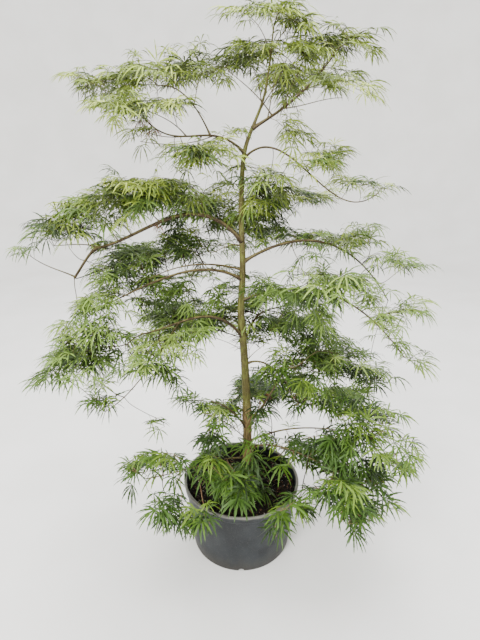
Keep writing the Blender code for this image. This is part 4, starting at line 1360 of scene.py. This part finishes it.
def make_withered(roots, finish):
    """A few shrivelled leaves that hang from the undersides of limbs."""
    dice = np.random.default_rng(SEED + 3)
    boughs = {bough.name: bough for bough in BOUGHS}
    starts = []
    for name, share, count in WITHERED:
        shares = np.clip(share + dice.uniform(-WITHERED_SCATTER, WITHERED_SCATTER, count), 0, 1)
        starts.append(bough_path(boughs[name], roots[name], shares))
    start = np.vstack(starts)
    way = dice.normal(0, 1, start.shape) * (1, 1, WITHERED_LEVEL)
    way = unit(way - WITHERED_DOWN * UP)
    size = WITHERED_LENGTH * dice.uniform(*WITHERED_RANGE, len(start))
    base = start + way * WITHERED_STALK * size[:, None]
    blades = leaf_shapes(base, way, size, np.full(len(start), WITHERED_HANG), dice)
    stalks = stalk_shapes(start, base, PETIOLE_RADIUS)
    new_piece("withered_leaves", *joined((blades, stalks)), finish, "foliage")


# ---------------------------------------------------------------- pot and soil


def wall_radius(height):
    """The pot's outer radius below its rim band."""
    rim = POT_RIM_RADIUS - RIM_BAND_PROUD
    return POT_FOOT_RADIUS + (rim - POT_FOOT_RADIUS) * height / POT_HEIGHT


def inner_wall(height):
    """The pot's inner wall at a height, as (radius, height)."""
    return wall_radius(height) - POT_WALL, height


def arc(centre_r, centre_z, radius, start, end, count):
    """An arc in a section: centre + radius (cos turn, sin turn), between two angles in degrees."""
    turn = np.radians(np.linspace(start, end, count))
    return np.stack((centre_r + radius * np.cos(turn), centre_z + radius * np.sin(turn)), -1)


def line(start, end, count):
    """A straight run of evenly spaced points in a section."""
    return np.linspace(start, end, count)


def pot_profile():
    """The pot's section as (radius, height), from the middle of its underside round to its floor:
    straight runs, a rounded foot, and a rolled rim that turns through half a circle."""
    band = POT_HEIGHT - RIM_BAND_HEIGHT
    proud = wall_radius(band) + RIM_BAND_PROUD
    roll = RIM_ROLL_RADIUS
    inner = POT_RIM_RADIUS - 2 * roll
    lip = min(inner, wall_radius(POT_HEIGHT) - POT_WALL)
    foot = POT_FOOT_RADIUS - FOOT_ROUNDING
    band_edge = (wall_radius(band) + RIM_BAND_PROUD * BAND_EDGE_SHARE, band + BAND_EDGE)
    face_end = (POT_RIM_RADIUS - BAND_FACE_INSET, POT_HEIGHT - roll - BAND_FACE_END)
    return np.vstack(
        (
            line((POT_HUB, 0), (foot, 0), 8)[:-1],
            arc(foot, FOOT_ROUNDING, FOOT_ROUNDING, -90, 0, 6),
            line((wall_radius(WALL_START), WALL_START), (wall_radius(band), band), 30),
            line(band_edge, (proud, band + RIM_BAND_STEP), 3),
            line((proud, band + BAND_FACE_START), face_end, 5),
            arc(POT_RIM_RADIUS - roll, POT_HEIGHT - roll, roll, 0, 180, 14),
            line((lip, POT_HEIGHT - roll - INNER_LIP_DROP), inner_wall(SOIL_LEVEL), 6),
            line(inner_wall(INNER_WALL_TURN), inner_wall(POT_FLOOR), 4),
            line((FLOOR_TURN, POT_FLOOR), (POT_HUB, POT_FLOOR), 3),
        )
    )


def turned(profile, sides, wobble=None):
    """A turned shape: each (radius, height) of the profile carried round the Z axis."""
    turns = even_turns(sides)
    radii = profile[:, :1] * np.ones(sides)
    heights = profile[:, 1:] * np.ones(sides)
    if wobble:
        radii, heights = wobble(radii, heights, turns)
    rings = np.stack((radii * np.cos(turns), radii * np.sin(turns), heights), -1)
    start, end = rings[0].mean(0), rings[-1].mean(0)
    return closed_skin(rings, start, end)


def used_pot(radii, heights, turns):
    """A pot that has stood about. Its radius gains waves cos(m turn + phase) that grow to the rim
    with the square of the height, 2.2 and 1.0 mm deep, and dents sin(m turn + w height + phase) of
    0.9 and 0.6 mm that are deepest half way up. Both fade out towards the middle of the floor."""
    rise = np.clip(heights / POT_HEIGHT, 0, 1)
    oval = 0.0022 * np.cos(2 * turns + 0.8) + 0.0010 * np.cos(3 * turns + 2.1)
    dents = 0.0009 * np.sin(5 * turns + 9 * rise) + 0.0006 * np.sin(8 * turns - 14 * rise + 1.0)
    body = np.clip((radii - 0.12) / 0.05, 0, 1)
    return radii + body * (oval * rise**2 + dents * np.sin(pi * rise)), heights


def make_pot(finish):
    """The pot, with arched drain notches cut through the foot of its wall."""
    pot = new_piece("pot_shell", *turned(pot_profile(), POT_TURNS, used_pot), finish, "pot_plastic")
    arch_turns = np.linspace(0, pi, DRAIN_ARCH_POINTS)
    half = 0.5 * DRAIN_WIDTH
    shapes = []
    for k in range(DRAIN_NOTCHES):
        angle = 270 + 360 * k / DRAIN_NOTCHES
        out, across = heading_vector(angle), heading_vector(angle + 90)
        arch = np.stack((half * np.cos(arch_turns), DRAIN_HEIGHT * np.sin(arch_turns)), -1)
        arch = np.vstack(((half, -DRAIN_HEIGHT), arch, (-half, -DRAIN_HEIGHT)))
        rings = [
            out * (POT_FOOT_RADIUS + reach) + across * arch[:, :1] + UP * arch[:, 1:]
            for reach in (-DRAIN_REACH, DRAIN_REACH)
        ]
        rings = np.stack(rings)
        shapes.append(closed_skin(rings, rings[0].mean(0), rings[1].mean(0)))
    cutter = new_piece("drain_cutter", *joined(shapes), finish, "pot_plastic", smooth=False)
    turn_outwards(cutter.data)
    cut = pot.modifiers.new("drains", "BOOLEAN")
    cut.operation = "DIFFERENCE"
    cut.solver = "EXACT"
    cut.object = cutter
    graph = bpy.context.evaluated_depsgraph_get()
    pot.data = bpy.data.meshes.new_from_object(pot.evaluated_get(graph))
    pot.modifiers.clear()
    bpy.data.objects.remove(cutter, do_unlink=True)
    pot.data.shade_smooth()
    pot.data.set_sharp_from_angle(angle=radians(POT_SHARP_EDGE))
    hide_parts("pot")


def turn_outwards(mesh):
    """Recalculates the faces of a closed mesh so that they point outwards."""
    work = bmesh.new()
    work.from_mesh(mesh)
    bmesh.ops.recalc_face_normals(work, faces=work.faces)
    work.to_mesh(mesh)
    work.free()


def soil_height(x, y):
    """The soil's uneven top: slow waves of 2.2 mm, crumbs of 1.1 and 0.7 mm as products of finer
    waves, and a mound exp(-(distance / width)^2) about the trunk."""
    slow = 0.0022 * (np.sin(31 * x + 1.3) * np.cos(27 * y + 0.4) + np.sin(19 * (x + y)))
    crumbs = 0.0011 * np.sin(210 * x + 70 * y) * np.sin(190 * y - 90 * x + 1.0)
    crumbs = crumbs + 0.0007 * np.sin(430 * x + 1.7) * np.sin(410 * y + 0.3)
    trunk = trunk_path([SOIL_LEVEL])[0]
    mound = MOUND_HEIGHT * np.exp(-((x - trunk[0]) ** 2 + y**2) / MOUND_WIDTH**2)
    return SOIL_LEVEL + slow + crumbs + mound


def make_soil(finish, chip_finishes):
    """The potting mix: a turned solid that fills the pot, whose top is uneven, strewn with chips."""
    edge = wall_radius(SOIL_LEVEL - SOIL_EDGE_DROP) - POT_WALL - SOIL_GAP
    floor = POT_FLOOR + SOIL_FOOT_GAP
    wall = wall_radius(SOIL_FOOT_HEIGHT) - POT_WALL
    foot = line((SOIL_HUB, floor), (wall - SOIL_FOOT_ROUNDING, floor), 3)
    foot_edge = (wall - SOIL_SIDE_GAP, SOIL_FOOT_HEIGHT)
    side = line(foot_edge, (edge - SOIL_SIDE_GAP, SOIL_LEVEL - SOIL_SHOULDER), 6)
    top = np.stack((np.linspace(edge, SOIL_POLE, SOIL_RINGS), np.full(SOIL_RINGS, SOIL_LEVEL)), -1)
    profile = np.vstack((foot, side, top))

    def uneven(radii, heights, turns):
        risen = soil_height(radii * np.cos(turns), radii * np.sin(turns))
        return radii, np.where(heights == SOIL_LEVEL, risen, heights)

    soil = new_piece("soil_fill", *turned(profile, SOIL_TURNS, uneven), finish, "soil")
    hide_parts("soil")
    dice = np.random.default_rng(SEED + 2)
    for row in CHIPS:
        away = edge * CHIP_REACH * np.sqrt(dice.uniform(0, 1, row.count))
        turn = dice.uniform(0, 2 * pi, row.count)
        x, y = away * np.cos(turn), away * np.sin(turn)
        centre = np.stack((x, y, soil_height(x, y)), -1)
        sizes = dice.uniform(row.smallest, row.largest, (row.count, 3))
        half = 0.5 * sizes * (1, CHIP_WIDTH, row.flatness)
        shape = chip_shapes(centre, half, dice)
        new_piece(row.name, *shape, chip_finishes[row.name], "soil", smooth=False)


def chip_shapes(centre, half, dice):
    """Small shards: boxes of these half sizes with shifted corners, each turned at random."""
    square = ((-1, -1), (1, -1), (1, 1), (-1, 1))
    corners = np.array([(x, y, z) for z in (-1, 1) for x, y in square])
    shape = half[:, None] * corners * dice.uniform(*CHIP_CORNERS, (len(centre), 8, 3))
    spin = dice.uniform(0, 2 * pi, len(centre))
    tilt = dice.normal(0, CHIP_TILT, len(centre))
    along = np.stack((np.cos(spin) * np.cos(tilt), np.sin(spin) * np.cos(tilt), np.sin(tilt)), -1)
    across = unit(np.cross(UP, along))
    up = np.cross(along, across)
    points = centre[:, None] + sum(
        shape[..., axis : axis + 1] * direction[:, None]
        for axis, direction in enumerate((along, across, up))
    )
    base = (np.arange(len(centre)) * 8)[:, None, None]
    sides = [(corner, (corner + 1) % 4, (corner + 1) % 4 + 4, corner + 4) for corner in range(4)]
    faces = np.array(((0, 3, 2, 1), (4, 5, 6, 7), *sides))
    return points.reshape(-1, 3), [(base + faces).reshape(-1, 4)]


# ---------------------------------------------------------------- finishes


def place(tree, kind, inputs=None, **properties):
    """A new shader node. An input is a plain value or the output socket to link to it."""
    made = tree.nodes.new(kind)
    for name, value in properties.items():
        setattr(made, name, value)
    for key, value in (inputs or {}).items():
        if isinstance(value, bpy.types.NodeSocket):
            tree.links.new(value, made.inputs[key])
        else:
            made.inputs[key].default_value = value
    return made


def new_group(name, inputs, outputs):
    """An empty node group, the sockets it is given and the sockets it puts out."""
    group = bpy.data.node_groups.new(name, "ShaderNodeTree")
    for socket, kind, value in inputs:
        made = group.interface.new_socket(socket, in_out="INPUT", socket_type=kind)
        if value is not None:
            made.default_value = value
    for socket, kind in outputs:
        group.interface.new_socket(socket, in_out="OUTPUT", socket_type=kind)
    return group, group.nodes.new("NodeGroupInput").outputs, group.nodes.new("NodeGroupOutput").inputs


def eased(tree, value, low, high):
    """0 where a value is at `low`, 1 where it is at `high`, and a smooth step in between."""
    inputs = {0: value, 1: low, 2: high}
    return place(tree, "ShaderNodeMapRange", inputs, interpolation_type="SMOOTHSTEP").outputs[0]


def patches_group():
    """Soft-edged patches: noise of the given size in metres, stretched between two levels."""
    group, given, out = new_group(
        "patches",
        (
            ("Place", "NodeSocketVector", None),
            ("Size", "NodeSocketFloat", 0.02),
            ("Detail", "NodeSocketFloat", 3.0),
            ("From", "NodeSocketFloat", 0.4),
            ("To", "NodeSocketFloat", 0.6),
        ),
        (("Mask", "NodeSocketFloat"),),
    )
    scale = place(group, "ShaderNodeMath", {0: 1.0, 1: given["Size"]}, operation="DIVIDE")
    noise = place(
        group,
        "ShaderNodeTexNoise",
        {"Vector": given["Place"], "Scale": scale.outputs[0], "Detail": given["Detail"]},
    )
    group.links.new(eased(group, noise.outputs[0], given["From"], given["To"]), out["Mask"])
    return group


def height_group():
    """A mask that goes from 0 to 1 between two heights, with an edge broken up by noise."""
    group, given, out = new_group(
        "height_fade",
        (
            ("Place", "NodeSocketVector", None),
            ("Start", "NodeSocketFloat", 0.0),
            ("End", "NodeSocketFloat", 0.1),
            ("Ragged", "NodeSocketFloat", 0.02),
        ),
        (("Mask", "NodeSocketFloat"),),
    )
    split = place(group, "ShaderNodeSeparateXYZ", {0: given["Place"]})
    noise = place(group, "ShaderNodeTexNoise", {"Vector": given["Place"], "Scale": 45.0, "Detail": 4.0})
    centred = place(group, "ShaderNodeMath", {0: noise.outputs[0], 1: 0.5}, operation="SUBTRACT")
    shift = times(group, centred.outputs[0], given["Ragged"])
    height = place(group, "ShaderNodeMath", {0: split.outputs[2], 1: shift}, operation="ADD")
    group.links.new(eased(group, height.outputs[0], given["Start"], given["End"]), out["Mask"])
    return group


def new_finish(name, colour, roughness, specular=0.5):
    """A material with a Principled shader, and its tree and shader."""
    finish = bpy.data.materials.new(name)
    finish.use_nodes = True
    tree = finish.node_tree
    shader = tree.nodes["Principled BSDF"]
    shader.inputs["Base Color"].default_value = (*colour, 1.0)
    shader.inputs["Roughness"].default_value = roughness
    shader.inputs["Specular IOR Level"].default_value = specular
    return finish, tree, shader


def masked(tree, group, where, **values):
    """One of the groups above, placed in a material with its own values."""
    made = place(tree, "ShaderNodeGroup", node_tree=group)
    tree.links.new(where, made.inputs["Place"])
    for key, value in values.items():
        made.inputs[key].default_value = value
    return made.outputs["Mask"]


def blended(tree, mask, under, over):
    """Two colours mixed by a mask. Each is a plain colour or an output socket."""
    under, over = (
        value if isinstance(value, bpy.types.NodeSocket) else (*value, 1.0) for value in (under, over)
    )
    mixer = place(tree, "ShaderNodeMix", {0: mask, 6: under, 7: over}, data_type="RGBA")
    return mixer.outputs[2]


def scaled(tree, mask, low, high):
    """A mask of 0 to 1 as a value from low to high."""
    return place(tree, "ShaderNodeMapRange", {0: mask, 3: low, 4: high}).outputs[0]


def times(tree, mask, by):
    """A value multiplied by another. Each is a plain value or a socket."""
    return place(tree, "ShaderNodeMath", {0: mask, 1: by}, operation="MULTIPLY").outputs[0]


def bumped(tree, shader, height, strength, distance):
    """Turns a shader's normals by a relief of this height map."""
    bump = place(tree, "ShaderNodeBump", {"Height": height, "Strength": strength, "Distance": distance})
    tree.links.new(bump.outputs[0], shader.inputs["Normal"])


def object_places(tree):
    """The places on a piece, in metres from the origin."""
    return tree.nodes.new("ShaderNodeTexCoord").outputs["Object"]


def stretched(tree, where, scale):
    """Places scaled along x, y and z, which makes a pattern finer where the scale is over 1."""
    return place(tree, "ShaderNodeMapping", {0: where, 3: scale}, vector_type="POINT").outputs[0]


def bark_finish(patches, name, painted_lit_top, under, worn, dark):
    """Smooth young bark: paler on its top side and darker beneath, as painted light and shade that
    follow how far the surface faces up, with worn patches, dark streaks and pale pores, and browner where
    it is old."""
    finish, tree, shader = new_finish(name, painted_lit_top, 0.7, 0.3)
    grain = place(tree, "ShaderNodeAttribute", attribute_name="grain").outputs["Vector"]
    age = place(tree, "ShaderNodeAttribute", attribute_name="age").outputs["Fac"]
    streaky = stretched(tree, grain, (1.0, 1.0, 0.12))
    dotted = stretched(tree, grain, (1, 1, 1.6))
    browned = masked(tree, patches, grain, Size=0.030, Detail=4.0, From=0.42, To=0.62)
    streaks = masked(tree, patches, streaky, Size=0.0045, Detail=5.0, From=0.38, To=0.66)
    pores = masked(tree, patches, dotted, Size=0.0035, Detail=1.0, From=0.66, To=0.72)
    # Painted light and shade: the colour goes from the underside's to the top's as the surface turns to
    # face up.
    normal = tree.nodes.new("ShaderNodeNewGeometry").outputs["Normal"]
    upwards = place(tree, "ShaderNodeSeparateXYZ", {0: normal}).outputs[2]
    painted_light_mask = eased(tree, upwards, -0.5, 0.9)
    colour = blended(tree, browned, blended(tree, painted_light_mask, under, painted_lit_top), worn)
    colour = blended(tree, times(tree, streaks, 0.6), colour, dark)
    colour = blended(tree, age, colour, blended(tree, streaks, linear(128, 102, 72), linear(84, 64, 44)))
    colour = blended(tree, times(tree, pores, 0.5), colour, linear(150, 138, 104))
    tree.links.new(colour, shader.inputs["Base Color"])
    tree.links.new(scaled(tree, streaks, 0.58, 0.86), shader.inputs["Roughness"])
    bumped(tree, shader, streaks, 0.35, 0.0006)
    return finish


def pot_finish(patches, fade):
    """Moulded plastic, weathered matt: scuffed along the wall, dusty at the foot, and pale grey over the
    rim, which is partly dust and partly a painted highlight.
    """
    finish, tree, shader = new_finish("pot_plastic", linear(26, 30, 35), 0.55, 0.35)
    where = object_places(tree)
    cloudy = masked(tree, patches, where, Size=0.070, Detail=4.0, From=0.35, To=0.70)
    speckle = masked(tree, patches, where, Size=0.0035, Detail=3.0, From=0.50, To=0.75)
    level = stretched(tree, where, (0.25, 0.25, 2.2))
    scuffs = masked(tree, patches, level, Size=0.010, Detail=5.0, From=0.60, To=0.74)
    foot = masked(tree, fade, where, Start=0.075, End=-0.01, Ragged=0.07)
    # The rim's pale grey band is partly dust and partly a painted highlight on the rolled lip.
    rim = masked(tree, fade, where, Start=POT_HEIGHT - 0.012, End=POT_HEIGHT - 0.001, Ragged=0.008)
    colour = blended(tree, cloudy, linear(20, 24, 28), linear(34, 38, 42))
    colour = blended(tree, times(tree, scuffs, 0.30), colour, linear(76, 80, 82))
    colour = blended(tree, times(tree, foot, 0.30), colour, linear(70, 64, 52))
    colour = blended(tree, times(tree, rim, 0.85), colour, linear(120, 118, 110))
    colour = blended(tree, times(tree, speckle, 0.18), colour, linear(96, 96, 90))
    tree.links.new(colour, shader.inputs["Base Color"])
    tree.links.new(scaled(tree, scuffs, 0.50, 0.80), shader.inputs["Roughness"])
    bumped(tree, shader, speckle, 0.25, 0.0004)
    return finish


def soil_finish(patches):
    """Damp potting mix: near black, with browner drier crumbs."""
    finish, tree, shader = new_finish("potting_mix", linear(26, 22, 19), 0.95, 0.15)
    where = object_places(tree)
    dry = masked(tree, patches, where, Size=0.022, Detail=5.0, From=0.45, To=0.68)
    crumbs = masked(tree, patches, where, Size=0.0040, Detail=4.0, From=0.35, To=0.65)
    colour = blended(tree, dry, linear(19, 17, 15), linear(44, 36, 29))
    colour = blended(tree, times(tree, crumbs, 0.5), colour, linear(34, 28, 23))
    tree.links.new(colour, shader.inputs["Base Color"])
    tree.links.new(scaled(tree, dry, 0.80, 1.0), shader.inputs["Roughness"])
    bumped(tree, shader, crumbs, 0.9, 0.0025)
    return finish


def chip_finish(patches, name, dark, pale):
    """Bark chips and specks: two close tones in small patches, dull and grainy."""
    finish, tree, shader = new_finish(name, dark, 0.9, 0.2)
    mask = masked(tree, patches, object_places(tree), Size=0.006, Detail=3.0, From=0.35, To=0.65)
    tree.links.new(blended(tree, mask, dark, pale), shader.inputs["Base Color"])
    bumped(tree, shader, mask, 0.4, 0.0008)
    return finish


def floor_finish(patches):
    """Matt, nearly white, with wide faint clouds."""
    finish, tree, shader = new_finish("studio_floor", linear(226, 225, 222), 0.75, 0.3)
    mask = masked(tree, patches, object_places(tree), Size=0.35, Detail=3.0, From=0.3, To=0.7)
    colour = blended(tree, mask, linear(223, 222, 219), linear(229, 228, 226))
    tree.links.new(colour, shader.inputs["Base Color"])
    return finish


# ---------------------------------------------------------------- studio


def make_floor(finish):
    """A pale floor whose far edge curves up into a low wall all round: a turned bowl."""
    flat = line((FLOOR_HUB, 0), (FLOOR_RADIUS, 0), 8)
    curve = arc(FLOOR_RADIUS, FLOOR_CURVE, FLOOR_CURVE, -90, 0, 24)[1:]
    wall = np.array(((FLOOR_RADIUS + FLOOR_CURVE, FLOOR_WALL),))
    profile = np.vstack((flat, curve, wall))
    points, (walls, caps) = turned(profile, FLOOR_TURNS)
    mesh = bpy.data.meshes.new("studio_floor")
    faces = [tuple(face[::-1]) for face in walls.tolist() + caps[:FLOOR_TURNS].tolist()]
    mesh.from_pydata(points[:-1].tolist(), [], faces)
    mesh.shade_smooth()
    mesh.materials.append(finish)
    floor = bpy.data.objects.new("studio_floor", mesh)
    bpy.context.scene.collection.objects.link(floor)


def add_light(name, at, towards, size, power, colour):
    """A round lamp at a place, turned towards another."""
    data = bpy.data.lights.new(name, "AREA")
    data.shape = "DISK"
    data.size = size
    data.energy = power
    data.color = colour
    light = bpy.data.objects.new(name, data)
    aim = np.array(towards, float) - np.array(at, float)
    yaw = np.arctan2(aim[1], aim[0])
    pitch = np.arctan2(aim[2], np.hypot(aim[0], aim[1]))
    light.location = at
    light.rotation_euler = (pi / 2 + pitch, 0, yaw - pi / 2)
    bpy.context.scene.collection.objects.link(light)


def make_studio(finish):
    """The floor, an even sky and four soft lamps."""
    make_floor(finish)
    world = bpy.data.worlds.new("soft_sky")
    world.use_nodes = True
    background = world.node_tree.nodes["Background"]
    background.inputs["Color"].default_value = SKY_COLOUR
    background.inputs["Strength"].default_value = SKY_STRENGTH
    bpy.context.scene.world = world
    for row in LIGHTS:
        add_light(*row)


def make_camera():
    """The camera that the windows and sprigs are placed by."""
    data = bpy.data.cameras.new("camera")
    data.lens = CAMERA_LENS
    data.sensor_width = CAMERA_SENSOR
    data.clip_start, data.clip_end = CAMERA_RANGE
    camera = bpy.data.objects.new("camera", data)
    camera.location = CAMERA_AT
    camera.rotation_euler = (radians(90 - CAMERA_PITCH), 0, radians(CAMERA_YAW))
    bpy.context.scene.collection.objects.link(camera)
    bpy.context.scene.camera = camera


def main():
    """Makes the pot, the soil, the limbs and the foliage."""
    make_camera()
    patches, fade = patches_group(), height_group()
    make_studio(floor_finish(patches))
    make_pot(pot_finish(patches, fade))
    chips = {
        row.name: chip_finish(patches, row.name, linear(*row.dark), linear(*row.pale)) for row in CHIPS
    }
    make_soil(soil_finish(patches), chips)
    roots = bough_roots()
    shoots = shoot_rows(roots)
    barks = {
        key: bark_finish(patches, name, *[linear(*tone) for tone in tones])
        for key, (name, *tones) in BARKS.items()
    }
    make_limbs(roots, shoots, barks)
    finishes = {
        name: new_finish("leaf_" + name, linear(*tone), LEAF_ROUGHNESS, LEAF_SPECULAR)[0]
        for name, tone in LEAF_TONES.items()
    }
    for key, (name, tone, roughness, specular) in PLAIN_FINISHES.items():
        finishes[key] = new_finish(name, linear(*tone), roughness, specular)[0]
    make_foliage(roots, shoots, finishes)
    make_withered(roots, finishes["withered"])


main()
